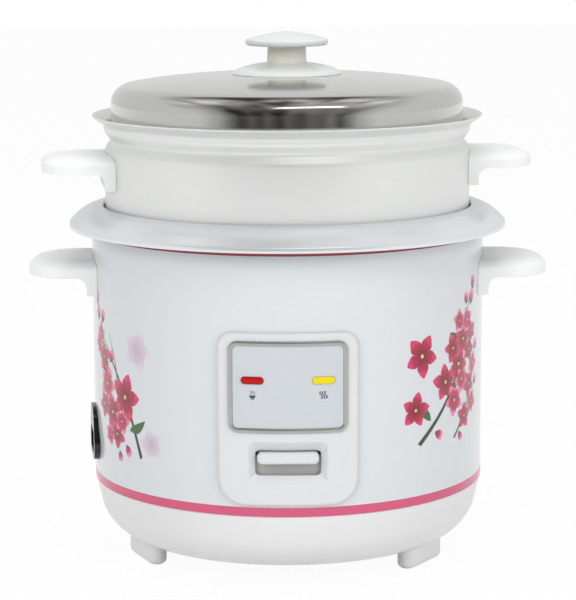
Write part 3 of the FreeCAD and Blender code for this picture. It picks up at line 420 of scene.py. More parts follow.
def add(tree, kind, inputs=None, **settings):
    """A new node with its settings and inputs."""
    node = tree.nodes.new(kind)
    for key, value in settings.items():
        setattr(node, key, value)
    fill(tree, node, inputs or {})
    return node


def calculate(tree, operation, *values):
    """The result of a calculation."""
    node = add(tree, "ShaderNodeMath", dict(enumerate(values)), operation=operation)
    return node.outputs[0]


def spread(tree, value, low, high, source=(0.3, 0.7)):
    """Map a value from one range to another."""
    inputs = {
        "Value": value,
        "From Min": source[0],
        "From Max": source[1],
        "To Min": low,
        "To Max": high,
    }
    return add(tree, "ShaderNodeMapRange", inputs).outputs["Result"]


def noise(tree, place, scale, detail, roughness=0.5):
    """Soft random values in space."""
    inputs = {"Vector": place, "Scale": scale, "Detail": detail, "Roughness": roughness}
    return add(tree, "ShaderNodeTexNoise", inputs).outputs["Fac"]


def ramp(tree, value, stops):
    """A colour for a value. A stop is a value and its colour."""
    node = add(tree, "ShaderNodeValToRGB", {"Fac": value})
    marks = node.color_ramp.elements
    marks.remove(marks[1])
    marks[0].position, marks[0].color = stops[0]
    for position, colour in stops[1:]:
        marks.new(position).color = colour
    return node.outputs["Color"]


def mix_shaders(tree, share, first, second):
    """Two shaders blended by the share of the second one."""
    inputs = {0: share, 1: first.outputs[0], 2: second.outputs[0]}
    return add(tree, "ShaderNodeMixShader", inputs)


def tone_and_polish(group, start, end, mask, amount):
    """Darken the colour by a mask, and move the roughness between its two ends by the same mask."""
    shift = calculate(group, "MULTIPLY", mask, start.outputs[amount])
    shade = calculate(group, "SUBTRACT", 1.0, shift)
    inputs = {0: start.outputs["Colour"], "Scale": shade}
    tone = add(group, "ShaderNodeVectorMath", inputs, operation="SCALE")
    polish = spread(group, mask, start.outputs["Smooth"], start.outputs["Rough"])
    fill(group, end, {"Colour": tone.outputs["Vector"], "Roughness": polish})


def make_uneven_group():
    """Slight cloudy change of tone, with a fine moulded grain."""
    group, start, end = new_group(
        "uneven_surface",
        {
            "Colour": (0.8, 0.8, 0.8, 1),
            "Tone change": 0.04,
            "Cloud size": 18.0,
            "Grain size": 900.0,
            "Smooth": 0.2,
            "Rough": 0.3,
        },
        ("Colour", "Roughness", "Grain"),
    )
    place = add(group, "ShaderNodeTexCoord").outputs["Object"]
    clouds = noise(group, place, start.outputs["Cloud size"], 4.0)
    grain = noise(group, place, start.outputs["Grain size"], 2.0)
    tone_and_polish(group, start, end, clouds, "Tone change")
    fill(group, end, {"Grain": grain})
    return group


def make_spun_group():
    """Fine rings round the upright axis, as a spinning or polishing tool leaves them."""
    group, start, end = new_group(
        "spun_rings",
        {
            "Colour": (0.8, 0.8, 0.8, 1),
            "Ring tone": 0.06,
            "Ring count": 900.0,
            "Smooth": 0.2,
            "Rough": 0.35,
        },
        ("Colour", "Roughness", "Rings"),
    )
    place = add(group, "ShaderNodeTexCoord").outputs["Object"]
    parts = add(group, "ShaderNodeSeparateXYZ", {0: place}).outputs
    flat = add(group, "ShaderNodeCombineXYZ", {"X": parts["X"], "Y": parts["Y"]})
    radius = add(group, "ShaderNodeVectorMath", {0: flat.outputs[0]}, operation="LENGTH")
    spot = add(group, "ShaderNodeCombineXYZ", {"X": radius.outputs["Value"], "Y": parts["Z"]})
    rings = noise(group, spot.outputs[0], start.outputs["Ring count"], 5.0, 0.65)
    clouds = noise(group, place, 14.0, 3.0)
    cloudy = calculate(group, "MULTIPLY", clouds, 0.4)
    both = calculate(group, "MULTIPLY_ADD", rings, 0.6, cloudy)
    tone_and_polish(group, start, end, both, "Ring tone")
    fill(group, end, {"Rings": rings})
    return group


UNEVEN = make_uneven_group()
SPUN = make_spun_group()


def linear(red, green, blue):
    """A screen colour from 0 to 255 as the linear colour that a shader takes."""
    values = []
    for part in (red, green, blue):
        part = part / 255
        values.append(part / 12.92 if part <= 0.04045 else ((part + 0.055) / 1.055) ** 2.4)
    return (*values, 1.0)


def start_material(name):
    material = bpy.data.materials.new(name)
    material.use_nodes = True
    tree = material.node_tree
    return material, tree, tree.nodes["Principled BSDF"]


def bump(tree, height, strength, distance):
    """A normal for a relief of some height."""
    inputs = {"Strength": strength, "Distance": distance, "Height": height}
    return add(tree, "ShaderNodeBump", inputs).outputs["Normal"]


def grouped(name, group, inputs, relief, depth, distance, settings):
    """A material that takes its colour, roughness and relief from a node group."""
    material, tree, shader = start_material(name)
    surface = add(tree, "ShaderNodeGroup", inputs, node_tree=group).outputs
    fill(
        tree,
        shader,
        {
            "Base Color": surface["Colour"],
            "Roughness": surface["Roughness"],
            "Normal": bump(tree, surface[relief], depth, distance),
            **settings,
        },
    )
    return material


def moulded(
    name, colour, smooth, rough, tone, clouds, grain=340.0, depth=0.004, coat=0.0, metal=0.0
):
    """Moulded plastic or paint with a slightly uneven tone and gloss."""
    inputs = {
        "Colour": colour,
        "Tone change": tone,
        "Cloud size": clouds,
        "Grain size": grain,
        "Smooth": smooth,
        "Rough": rough,
    }
    settings = {"Metallic": metal, "Coat Weight": coat, "Coat Roughness": 0.08}
    return grouped(name, UNEVEN, inputs, "Grain", depth, 0.0004, settings)


def spun_metal(name, colour, smooth, rough, tone, rings, depth, metal=1.0):
    """Sheet metal with fine rings round its axis."""
    inputs = {
        "Colour": colour,
        "Ring tone": tone,
        "Ring count": rings,
        "Smooth": smooth,
        "Rough": rough,
    }
    return grouped(name, SPUN, inputs, "Rings", depth, 0.0003, {"Metallic": metal})


def rough_metal(name, colour, smooth, rough, tone=0.25, clouds=60.0):
    """Plain metal of the hidden parts, with a cloudy finish."""
    return moulded(name, colour, smooth, rough, tone, clouds, 500.0, 0.05, metal=1.0)


def lens_plastic(name, colour, deep):
    """Coloured lens with fine ribs on its inside that show as bands of tone."""
    material, tree, shader = start_material(name)
    place = add(tree, "ShaderNodeTexCoord").outputs["Object"]
    inputs = {"Vector": place, "Scale": 260.0, "Distortion": 0.6}
    wave = add(tree, "ShaderNodeTexWave", inputs, wave_type="BANDS", bands_direction="X")
    ribs = wave.outputs["Fac"]
    share = spread(tree, ribs, 0.0, 0.35, (0.0, 1.0))
    tone = add(tree, "ShaderNodeMix", {"A": colour, "B": deep, "Factor": share}, data_type="RGBA")
    fill(
        tree,
        shader,
        {
            "Base Color": tone.outputs["Result"],
            "Roughness": spread(tree, ribs, 0.2, 0.26, (0.0, 1.0)),
            "Specular IOR Level": 0.25,
            "Normal": bump(tree, ribs, 0.05, 0.0003),
        },
    )
    return material


ENAMEL = moulded("white_enamel", linear(212, 215, 217), 0.16, 0.22, 0.02, 9.0, 120.0, 0.003, 0.4)
WHITE = moulded("white_moulding", linear(225, 225, 225), 0.28, 0.36, 0.03, 16.0)
PANEL = moulded("panel_moulding", linear(215, 216, 217), 0.28, 0.36, 0.03, 24.0)
# Painted light: the handles are made lighter than the other white mouldings, to make up for the
# shade that the flange casts on the body handles.
HANDLE_PAINTED_LIGHTER = moulded("handle_moulding_painted_lighter", linear(239, 240, 239), 0.28, 0.36, 0.03, 22.0)
KNOB = moulded("knob_moulding", linear(220, 221, 220), 0.2, 0.27, 0.03, 40.0)
STEM = moulded("stem_moulding", linear(226, 225, 214), 0.28, 0.36, 0.04, 50.0)
# Pale grey paint on the lever, darkened further by painted shade of the recess that it shows
# through.
LEVER_PAINT_AND_SHADE = moulded("lever_paint", linear(176, 176, 174), 0.3, 0.4, 0.05, 60.0)
BLACK = moulded("black_moulding", linear(26, 27, 28), 0.3, 0.45, 0.3, 50.0, 500.0, 0.02)
INLET = moulded("inlet_moulding", linear(17, 18, 19), 0.16, 0.24, 0.3, 50.0, 400.0, 0.004)
LABEL = moulded("label_film", linear(197, 201, 205), 0.28, 0.34, 0.02, 20.0)
SILVER = moulded("silver_frame", linear(186, 188, 184), 0.28, 0.38, 0.1, 120.0, metal=0.85)
LID_STEEL = spun_metal("polished_steel", linear(205, 205, 202), 0.12, 0.17, 0.04, 700.0, 0.004)
POT_METAL = spun_metal("pot_aluminium", linear(230, 233, 236), 0.28, 0.34, 0.03, 900.0, 0.0015, 0.6)
TRAY_METAL = spun_metal(
    "tray_aluminium", linear(230, 231, 229), 0.34, 0.42, 0.05, 1100.0, 0.006, 0.5
)
PLATE_METAL = spun_metal("plate_aluminium", linear(196, 198, 200), 0.35, 0.5, 0.12, 500.0, 0.05)
SHEET_METAL = rough_metal("galvanised_sheet", linear(190, 194, 197), 0.35, 0.5)
BRIGHT_STEEL = rough_metal("bright_steel", linear(200, 201, 203), 0.28, 0.36, 0.15, 200.0)
BRASS = rough_metal("brass_blade", linear(214, 186, 120), 0.28, 0.38, 0.12, 200.0)
FERRITE = moulded("ferrite", linear(70, 70, 73), 0.5, 0.65, 0.3, 120.0, 900.0, 0.1)
CREAM = moulded("cream_moulding", linear(224, 221, 208), 0.35, 0.45, 0.05, 60.0)
GLASS_BULB = moulded("lamp_bulb", linear(226, 180, 150), 0.08, 0.14, 0.15, 300.0)
RED_LENS = lens_plastic("red_lens", linear(182, 12, 10), linear(140, 6, 6))
YELLOW_LENS = lens_plastic("yellow_lens", linear(232, 212, 34), linear(212, 186, 18))
CRIMSON = moulded("crimson_stripe", linear(150, 34, 52), 0.18, 0.24, 0.1, 40.0, coat=0.3)
PINK = moulded("pink_band", linear(207, 80, 118), 0.18, 0.24, 0.06, 30.0, coat=0.3)
INK = moulded("printed_ink", linear(70, 74, 92), 0.3, 0.4, 0.1, 200.0)
STALK = moulded("printed_stalk", linear(62, 82, 54), 0.28, 0.36, 0.5, 160.0)
LEAF = moulded("printed_leaf", linear(84, 116, 72), 0.28, 0.36, 0.45, 180.0)


def petal_ink(name, throat, body, tip):
    """Printed petal: dark at the throat, paler at the tip, with veins along it."""
    material, tree, shader = start_material(name)
    uv = add(tree, "ShaderNodeTexCoord").outputs["UV"]
    along = add(tree, "ShaderNodeSeparateXYZ", {0: uv}).outputs["Y"]
    stretch = add(tree, "ShaderNodeMapping", {"Vector": uv, "Scale": (11.0, 2.2, 1.0)})
    veins = noise(tree, stretch.outputs["Vector"], 1.0, 3.0)
    place = calculate(tree, "MULTIPLY_ADD", veins, 0.5, along)
    fill(
        tree,
        shader,
        {
            "Base Color": ramp(tree, place, [(0.28, throat), (1.2 / 1.4, body), (1.0, tip)]),
            "Roughness": spread(tree, veins, 0.16, 0.26),
            "Coat Weight": 0.4,
        },
    )
    return material


ROSE = petal_ink("rose_petal", linear(96, 2, 30), linear(178, 10, 62), linear(206, 48, 100))
BLUSH = petal_ink("blush_petal", linear(132, 8, 50), linear(198, 36, 92), linear(228, 128, 162))
LILAC = petal_ink(
    "lilac_petal", linear(194, 172, 190), linear(208, 195, 207), linear(213, 206, 212)
)
POLLEN = moulded("printed_stamen", linear(240, 210, 130), 0.28, 0.36, 0.3, 300.0)


# Turned pieces.


def make_lid():
    lid = turn(
        "lid",
        [
            (0, 306.3),
            (66.7, 306.3, 29.8),
            (112.1, 298.7, 10.2),
            (112.1, 272.6, 0.5),
            (114.8, 272.4, 0.3),
            (114.8, 271.6, 0.3),
            (111.3, 271.6, 0.3),
            (111.3, 297.9, 9.6),
            (66.6, 305.5, 29.8),
            (0, 305.5),
        ],
        192,
    )
    finish_piece(lid, LID_STEEL, "lid", ["lid_dome"])
    collar = turn(
        "knob_base",
        [
            (0, 305.6),
            (34.6, 305.6),
            (35.3, 306.6, 0.6),
            (33.2, 308.9, 2.4),
            (26.4, 311.4, 4.0),
            (17.0, 313.2, 4.0),
            (12.4, 313.6),
            (0, 313.6),
        ],
        96,
    )
    finish_piece(collar, KNOB, "lid", ["knob_collar"])
    knob = turn(
        "knob",
        [
            (0, 313.5),
            (12.6, 313.5),
            (12.2, 324.3, 0.8),
            (26.2, 324.5, 1.6),
            (26.6, 328.2, 1.4),
            (13.6, 331.9, 8.0),
            (0, 333.2),
        ],
        96,
    )
    finish_piece(knob, KNOB, "lid", ["lid_knob"])
    knob.data.materials.append(STEM)
    for face in knob.data.polygons:
        if face.center.z < 324.0 * MM:
            face.material_index = 1


def make_tray():
    tray = turn(
        "tray",
        [
            (0, 216.3),
            (116.3, 216.3, 3.2),
            (116.3, 260.4, 2.0),
            (112.4, 265.8, 1.6),
            (116.7, 271.4, 1.6),
            (116.7, 275.6, 1.8),
            (124.3, 280.6, 0.7),
            (124.0, 281.6, 0.5),
            (115.9, 276.1, 1.8),
            (115.7, 271.8, 1.2),
            (111.4, 265.9, 1.4),
            (115.3, 260.1, 1.8),
            (115.3, 217.3, 2.2),
            (0, 217.3),
        ],
    )
    slots = []
    for ring in (0, 1):
        for step in range(12):
            inner = 28 + 36 * ring
            around = step * 30 + STEAMER_TURN
            slots.append(box_cutter("slot", (inner, -2.2, 214), (inner + 26, 2.2, 219), around))
    cut(tray, slots)
    finish_piece(tray, TRAY_METAL, "steamer", ["steamer_tray"])


def make_pot():
    pot = turn(
        "pot",
        [
            (0, 100.3),
            (114.0, 100.3, 20.0),
            (114.0, 214.5, 0.8),
            (118.8, 214.5, 0.8),
            (118.8, 223.4, 2.0),
            (129.6, 220.6, 5.8),
            (138.0, 212.6, 0.6),
            (138.0, 210.7, 0.4),
            (139.5, 210.7, 0.5),
            (139.5, 213.6, 1.2),
            (130.5, 222.2, 6.2),
            (117.3, 225.0, 2.6),
            (117.3, 216.0, 0.8),
            (112.5, 216.0, 0.8),
            (112.5, 101.8, 18.5),
            (0, 101.8),
        ],
    )
    finish_piece(pot, POT_METAL, "pot", ["inner_pot"])


def make_shell():
    shell = turn(
        "shell",
        [
            (125.2, 48.6),
            (125.2, 216.0, 1.2),
            (119.6, 216.0),
            (119.6, 215.2),
            (124.4, 215.2, 0.6),
            (124.4, 48.6),
        ],
    )
    cut(
        shell,
        [
            box_cutter("lamp_window", (-35.3, -140, 125), (35.3, -100, 141)),
            box_cutter("switch_window", (-27.9, -140, 65.7), (27.9, -100, 97.5)),
            box_cutter("inlet_window", (-17, -140, 63.3), (17, -100, 83.3), -82),
        ],
    )
    finish_piece(shell, ENAMEL, "cooker", ["outer_shell"])
    for name, low, high, material in (
        ("upper_stripe", 207.1, 209.7, CRIMSON),
        ("lower_band", 48.7, 54.3, PINK),
    ):
        outside = SHELL_RADIUS + 0.07
        stripe = turn(
            name,
            [
                (SHELL_RADIUS + 0.02, low),
                (outside, low),
                (outside, high),
                (SHELL_RADIUS + 0.02, high),
            ],
        )
        finish_piece(stripe, material, "cooker")


def make_base():
    base = turn(
        "base",
        [
            (0, 12.0),
            (103.0, 12.0, 3.0),
            (118.6, 21.0, 11.3),
            (124.9, 48.4, 0.6),
            (122.4, 48.6),
            (117.0, 28.0),
            (103.0, 14.5),
            (0, 14.5),
        ],
    )
    slots = []
    for step in range(12):
        slots.append(box_cutter("slot", (36, -2, 10), (60, 2, 18), step * 30))
    cut(base, slots)
    finish_piece(base, WHITE, "cooker", ["base_cover"])


# Moulded pieces with soft edges and corners.


def make_feet():
    clear_selection()
    away = 98.0
    half = [6.2, 21.3]
    bpy.ops.mesh.primitive_plane_add(size=1, location=(away * MM, 0, 13.2 * MM))
    foot = bpy.context.object
    foot.scale = (2 * half[0] * MM, 2 * half[1] * MM, 1)
    apply_place()
    open_piece(foot)
    select_all()
    bpy.ops.mesh.bevel(offset=6.0 * MM, segments=8, affect="VERTICES")
    select_all()
    extrude(z=-9.6)
    for inwards, drop in round_rows(3.6):
        smaller = [part - inwards for part in half]
        extrude(z=-drop)
        bpy.ops.transform.resize(
            value=(smaller[0] / half[0], smaller[1] / half[1], 1),
            center_override=(away * MM, 0, 0),
        )
        half = smaller
    face_outwards()
    close_piece(foot)
    for side, angle in (("left", -62.0), ("right", 62.0), ("rear", 180.0)):
        pad = copy_turned(foot, "foot_pad_" + side, angle - 94.2)
        finish_piece(pad, WHITE, "cooker", ["foot_" + side])
    throw_away([foot])


def make_handles():
    for kind, wall, half_width, top, underside, around in (
        ("handle", SHELL_RADIUS, 36.0, 190.4, 180.2, 0),
        ("steamer_handle", 116.3, 34.0, 257.0, 247.4, STEAMER_TURN),
    ):
        name = kind.replace("handle", "grip")
        grip = copy_node(kind + "_right", name + "_right")
        turn_piece(grip, -around)
        round_edges(grip, 2.4, lambda m: m.x > wall + 0.5 and m.z < underside + 0.1, 5, 40)
        round_edges(grip, 0.7, lambda m: m.x > wall + 0.5 and abs(m.z - top + 4) < 0.1, 3, 20)
        open_piece(grip)
        select_all()
        low = top - 3.2
        bpy.ops.mesh.bisect(
            plane_co=(0, 0, low * MM), plane_no=(0, 0, 1), use_fill=True, clear_outer=True
        )
        select_level_faces(grip, low)
        swell((wall, 0, 0), 39.3, half_width - 0.8, 4.4)
        close_piece(grip)
        clear_selection()
        bpy.ops.mesh.primitive_cylinder_add(
            vertices=360, radius=(wall + 0.15) * MM, depth=60 * MM, location=(0, 0, top * MM)
        )
        cut(grip, [bpy.context.object])
        turn_piece(grip, around)
        even_shading(grip)
        twin = copy_turned(grip, name + "_left", 180)
        for piece, side in ((grip, "_right"), (twin, "_left")):
            node = kind + side
            finish_piece(piece, HANDLE_PAINTED_LIGHTER, body_of[node], [node])


def make_panel():
    panel = flat_sheet("panel", 2.9, flat_width(42.8), 55.6, 161.4, (17.0, 9.0), 20)
    extrude(y=-0.5)
    raise_face(round_rows(2.4))
    face_outwards()
    clear_selection()
    deep = flat_width(26.8, 124)
    block = box_cutter("scoop_block", (-deep, 1.6, 66.8), (deep, 6.2, 96.4))
    combine(panel, block, "UNION")
    cut(panel, [make_scoop_cutter()] + make_lens_cutters())
    cut_strips(panel)
    bend_round(panel)
    cut(panel, [box_cutter("lever_room", (-27.5, -121.75, 60), (27.5, -100, 100))])
    even_shading(panel)
    finish_piece(panel, PANEL, "cooker", ["control_panel"])

    button = copy_node("switch_knob", "switch_button")
    round_edges(button, 2.2, lambda m: m.y < -126.9, 6)
    finish_piece(button, PANEL, "lever", ["switch_knob"])


def make_scoop_cutter():
    """The hollow round the switch: a mouth with a soft edge, sloping sides and a straight slot.
    A section is its depth behind the panel's face, half its width, its bottom and its top."""
    sections = (
        (-1.0, 25.4, 66.9, 96.6),
        (0.0, 24.6, 67.7, 95.8),
        (0.3, 24.1, 68.3, 95.2),
        (0.9, 23.5, 69.2, 94.3),
        (4.8, flat_width(19.8, 123.6), 73.8, 89.4),
        (10.0, flat_width(19.8, 123.6), 73.8, 89.4),
    )
    start, half, low, high = sections[0]
    scoop = flat_sheet("scoop", start, half, low, high, (4.2, 4.2))
    for there in sections[1:]:
        rise = (there[2] + there[3] - low - high) / 2
        extrude(y=there[0] - start, z=rise)
        bpy.ops.transform.resize(
            value=(there[1] / half, 1, (there[3] - there[2]) / (high - low)),
            center_override=(0, 0, (there[2] + there[3]) / 2 * MM),
        )
        start, half, low, high = there
    face_outwards()
    clear_selection()
    return scoop


def make_lens_cutters():
    """Cutters with round ends for the openings that the two lenses stand in."""
    cutters = []
    for side in (-1, 1):
        cutter = flat_sheet("lens_opening", 4.0, 7.0, 130.65, 135.35, (2.3, 2.3))
        extrude(y=-6)
        face_outwards()
        bpy.ops.transform.translate(value=(side * flat_width(LENS_SIDE, LABEL_RADIUS) * MM, 0, 0))
        clear_selection()
        cutters.append(cutter)
    return cutters


def make_label():
    half_width = flat_width(BEZEL_HALF_WIDTH, LABEL_RADIUS) - BEZEL_BAND - 0.05
    label = flat_sheet("label", -0.15, half_width, 103.95, 153.65, (3.0, 3.0), 20)
    extrude(y=-0.45)
    face_outwards()
    clear_selection()
    cut(label, make_lens_cutters())
    cut_strips(label)
    bend_round(label)
    even_shading(label)
    finish_piece(label, LABEL, "cooker", ["panel_label"])


def make_bezel():
    half_width = flat_width(BEZEL_HALF_WIDTH, LABEL_RADIUS)
    bezel = flat_sheet("bezel", -0.15, half_width, 100.9, 156.7, (6.0, 6.0), 20)
    extrude(y=-0.55)
    rise = ((0.1, 0.3), (0.25, 0.27), (0.45, 0.2), (0.7, 0.05))
    raise_face(rise)
    raise_face([(inwards, -up) for inwards, up in reversed(rise)])
    extrude(y=0.55)
    bpy.ops.mesh.delete(type="FACE")
    mesh = bmesh.from_edit_mesh(bezel.data)
    for face in mesh.faces:
        face.select_set(len(face.verts) > 4)
    bmesh.update_edit_mesh(bezel.data)
    bpy.ops.mesh.delete(type="ONLY_FACE")
    select_none()
    bpy.ops.mesh.select_mode(type="EDGE")
    bpy.ops.mesh.select_non_manifold()
    bpy.ops.mesh.bridge_edge_loops()
    face_outwards()
    bend_round(bezel)
    finish_piece(bezel, SILVER, "cooker", ["panel_bezel"])


def make_lenses():
    lens = flat_sheet("lens", -122.4, 6.85, 130.8, 135.2, (2.15, 2.15))
    extrude(y=-7.1)
    raise_face(((0.12, 0.25), (0.25, 0.2), (0.4, 0.12)))
    face_outwards()
    close_piece(lens)
    sideways = math.degrees(math.asin(LENS_SIDE / LABEL_RADIUS))
    for name, angle, material in (
        ("cook", -sideways, RED_LENS),
        ("warm", sideways, YELLOW_LENS),
    ):
        window = copy_turned(lens, name + "_window", angle)
        finish_piece(window, material, "cooker", [name + "_lens"])
    throw_away([lens])


def make_sensor_coil():
    """The spring under the sensor, copied from its CAD piece with clean faces."""
    coil = copy_node("sensor_spring", "sensor_coil")
    close_piece(coil)
    finish_piece(coil, BRIGHT_STEEL, "cooker", ["sensor_spring"])
    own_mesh(coil)


# Printed decoration: flat shapes that are laid on the shell and on the label.


def ribbon(name, rows, half_width, lean=None):
    """A flat shape one millimetre long that stands on the origin and faces the front. Formulas
    say how wide it is and how far it leans, from its root at 0 to its tip at 1."""
    clear_selection()
    bpy.ops.mesh.primitive_grid_add(
        x_subdivisions=4, y_subdivisions=rows, size=MM, location=(0, MM / 2, 0)
    )
    shape = added(name)
    apply_place()
    open_piece(shape)
    for row in range(rows + 1):
        share = row / rows
        select_where(shape, lambda place: abs(place.y - share * MM) < MM / 1000)
        bpy.ops.transform.resize(value=(2 * half_width(share), 1, 1))
        if lean is not None:
            bpy.ops.transform.translate(value=(lean(share) * MM, 0, 0))
    pick(shape)
    shape.rotation_euler = (math.pi / 2, 0, 0)
    apply_place()
    return shape


def lay(shape, around, height, size, tilt, lift, wall, radius=SHELL_RADIUS):
    """A copy of a flat shape, scaled, tilted and pressed on a round wall: so many millimetres
    round from the front, at a height, and lifted off the wall by a print's thickness."""
    piece = copy_piece(shape)
    place = Matrix.Rotation(around / radius, 4, "Z")
    place = place @ Matrix.Translation((0, -(radius + lift) * MM, height * MM))
    place = place @ Matrix.Rotation(math.radians(tilt), 4, "Y")
    piece.matrix_world = place @ Matrix.Scale(size, 4)
    pick(piece)
    apply_place()
    press = piece.modifiers.new("press", "SHRINKWRAP")
    press.target = wall
    press.wrap_method = "NEAREST_SURFACEPOINT"
    press.wrap_mode = "ABOVE_SURFACE"
    press.offset = lift * MM
    apply_all(piece)
    return piece


def join_print(name, pieces, material):
    """Join laid shapes into one print."""
    print_piece = join(pieces)
    print_piece.name = name
    print_piece.data.name = name
    close_piece(print_piece)
    finish_piece(print_piece, material, "cooker")


def throw_away(shapes):
    for shape in shapes:
        bpy.data.objects.remove(shape)


def make_blossom_prints():
    """Two sprays of blossom on a curved stalk, one on each side of the panel."""
    shell = bpy.data.objects["shell"]
    petal = ribbon(
        "petal",
        9,
        lambda t: min(0.02 + 0.33 * math.sin(math.pi * t**0.85) ** 0.8, 0.005 + 0.7 * t),
    )
    narrow = ribbon("bud", 7, lambda t: 0.02 + 0.2 * math.sin(math.pi * t) ** 0.9)
    eye = ribbon("eye", 6, lambda t: 0.02 + 0.46 * math.sin(math.pi * t) ** 0.6)
    leaf = ribbon(
        "leaf",
        9,
        lambda t: 0.01 + 0.17 * math.sin(math.pi * t**0.8),
        lambda t: 0.1 * math.sin(math.pi * t),
    )
    stalk = ribbon(
        "stalk", 40, lambda t: 0.012 * (1.25 - t), lambda t: 0.09 * math.sin(math.pi * t)
    )
    prints = {"rose": [], "blush": [], "lilac": [], "eyes": [], "leaves": [], "stalks": []}

    def blossom(kind, around, height, size, tilt, lift):
        for step in range(5):
            length = size * (1 - 0.06 * (step % 2))
            prints[kind].append(
                lay(petal, around, height, length, tilt + 72 * step, lift, shell)
            )
        if kind != "lilac":
            prints["eyes"].append(
                lay(eye, around, height - size * 0.1, size * 0.2, 0, lift + 0.006, shell)
            )

    def bud(around, height, size, tilt):
        for turned, lift in ((-16, 0.07), (16, 0.08), (0, 0.09)):
            prints["blush"].append(lay(narrow, around, height, size, tilt + turned, lift, shell))
        prints["leaves"].append(lay(narrow, around, height, size * 0.45, tilt, 0.1, shell))

    def spray(stalks, leaves, blossoms, buds, first_tilt, next_tilt):
        for place in stalks:
            prints["stalks"].append(lay(stalk, *place, shell))
        for place in leaves:
            prints["leaves"].append(lay(leaf, *place, 0.06, shell))
        for i, (kind, around, height, size) in enumerate(blossoms):
            tilt = first_tilt + next_tilt * i
            blossom(kind, around, height, size, tilt, 0.11 + 0.012 * i)
        for place in buds:
            bud(*place)

    # Left of the panel.
    spray(
        ((-101, 76, 92, -36, 0.04), (-126, 103, 48, -14, 0.05)),
        ((-112, 92, 17, 62), (-134, 122, 15, -78), (-118, 102, 14, 30)),
        (
            ("rose", -117, 112, 15.5),
            ("rose", -133, 100, 12.5),
            ("blush", -141, 117, 11.5),
            ("rose", -146, 133, 10.0),
            ("rose", -127, 87, 9.5),
            ("blush", -152, 147, 7.5),
            ("rose", -146, 103, 9.0),
            ("blush", -121, 96, 8.5),
            ("rose", -156, 140, 6.5),
            ("blush", -137, 85, 7.0),
        ),
        (
            (-156, 155, 10.0, -12),
            (-159, 164, 8.0, -4),
            (-149, 154, 9.0, 14),
            (-136, 131, 9.0, 24),
            (-116, 82, 8.0, 150),
            (-124, 77, 7.0, 170),
        ),
        15,
        41,
    )
    blossom("lilac", -104, 143, 14.0, 20, 0.03)
    blossom("lilac", -92, 86, 11.0, -12, 0.03)

    # Right of the panel.
    spray(
        ((87, 86, 104, 34, 0.04), (121, 85, 56, 30, 0.05)),
        ((97, 100, 16, -58), (108, 116, 18, 78), (126, 143, 14, -50)),
        (
            ("rose", 89, 141, 14.0),
            ("rose", 84, 108, 11.5),
            ("rose", 111, 122, 12.5),
            ("blush", 121, 109, 10.5),
            ("rose", 126, 131, 12.0),
            ("rose", 132, 146, 10.5),
            ("blush", 138, 157, 8.5),
            ("rose", 141, 116, 9.0),
            ("blush", 148, 128, 7.5),
            ("rose", 134, 97, 9.0),
            ("rose", 119, 142, 9.5),
            ("blush", 130, 121, 8.5),
            ("rose", 141, 138, 8.0),
            ("blush", 127, 158, 7.5),
            ("rose", 145, 149, 7.0),
            ("blush", 146, 104, 7.5),
        ),
        (
            (143, 166, 10.0, 22),
            (147, 175, 9.0, 6),
            (137, 167, 8.0, -10),
            (152, 136, 7.5, 26),
            (151, 114, 7.0, 40),
            (101, 92, 8.0, 118),
            (127, 88, 7.0, 150),
        ),
        30,
        53,
    )

    for name, kind, material in (
        ("print_ghosts", "lilac", LILAC),
        ("print_stalks", "stalks", STALK),
        ("print_leaves", "leaves", LEAF),
        ("print_pale_petals", "blush", BLUSH),
        ("print_petals", "rose", ROSE),
        ("print_eyes", "eyes", POLLEN),
    ):
        join_print(name, prints[kind], material)
    throw_away([petal, narrow, eye, leaf, stalk])


def make_label_signs():
    """A bowl with steam under the cooking lamp and rising warmth under the other one."""
    label = bpy.data.objects["label"]
    bowl = ribbon("bowl", 6, lambda t: 0.45 + 0.55 * t**0.5)
    bar = ribbon("bar", 2, lambda t: 2.2)
    steam = ribbon("steam", 12, lambda t: 0.09, lambda t: 0.16 * math.sin(2 * math.pi * t))
    signs = [
        lay(bowl, -LENS_SIDE, 122.0, 2.0, 0, 0.04, label, LABEL_RADIUS),
        lay(bar, -LENS_SIDE, 121.3, 0.4, 0, 0.04, label, LABEL_RADIUS),
    ]
    for step in (-1, 0, 1):
        for side, height, size in (
            (-LENS_SIDE + 1.1 * step, 124.6, 2.2),
            (LENS_SIDE + 1.5 * step, 121.8, 4.6),
        ):
            signs.append(lay(steam, side, height, size, 0, 0.04, label, LABEL_RADIUS))
    join_print("label_signs", signs, INK)
    throw_away([bowl, bar, steam])


def dress_cad_pieces():
    """Finishes for the pieces that keep their CAD form."""
    for material, members in (
        (INLET, ["power_inlet"]),
        (LEVER_PAINT_AND_SHADE, ["switch_lever"]),
        (PLATE_METAL, ["heater_plate", "sensor_cap"]),
        (
            SHEET_METAL,
            [
                "inner_liner",
                "tie_posts",
                "lamp_strip",
                "lever_bracket",
                "thermostat_strap",
                "warm_thermostat",
            ],
        ),
        (BRIGHT_STEEL, ["lever_pin", "pull_rod"]),
        (BRASS, ["heater_blades", "inlet_pins"]),
        (BLACK, ["micro_switch", "thermal_fuse"]),
        (FERRITE, ["magnet"]),
        (CREAM, ["terminal_block"]),
        (GLASS_BULB, ["cook_lamp", "warm_lamp"]),
    ):
        for member in members:
            cad[member].data.materials.clear()
            cad[member].data.materials.append(material)


# Stage.


def make_stage():
    clear_selection()
    bpy.ops.mesh.primitive_plane_add(size=14, location=(0, 0, -0.0002))
    floor = bpy.context.object
    floor.name = "floor"
    material, tree, shader = start_material("pale_floor")
    fill(tree, shader, {"Base Color": (0.9, 0.9, 0.9, 1), "Roughness": 0.6})
    glow = add(tree, "ShaderNodeEmission")
    rays = add(tree, "ShaderNodeLightPath").outputs
    seen = calculate(tree, "MAXIMUM", rays["Is Camera Ray"], rays["Is Glossy Ray"])
    share = calculate(tree, "MULTIPLY", seen, 0.95)
    blend = mix_shaders(tree, share, shader, glow)
    fill(tree, tree.nodes["Material Output"], {"Surface": blend.outputs[0]})
    floor.data.materials.append(material)


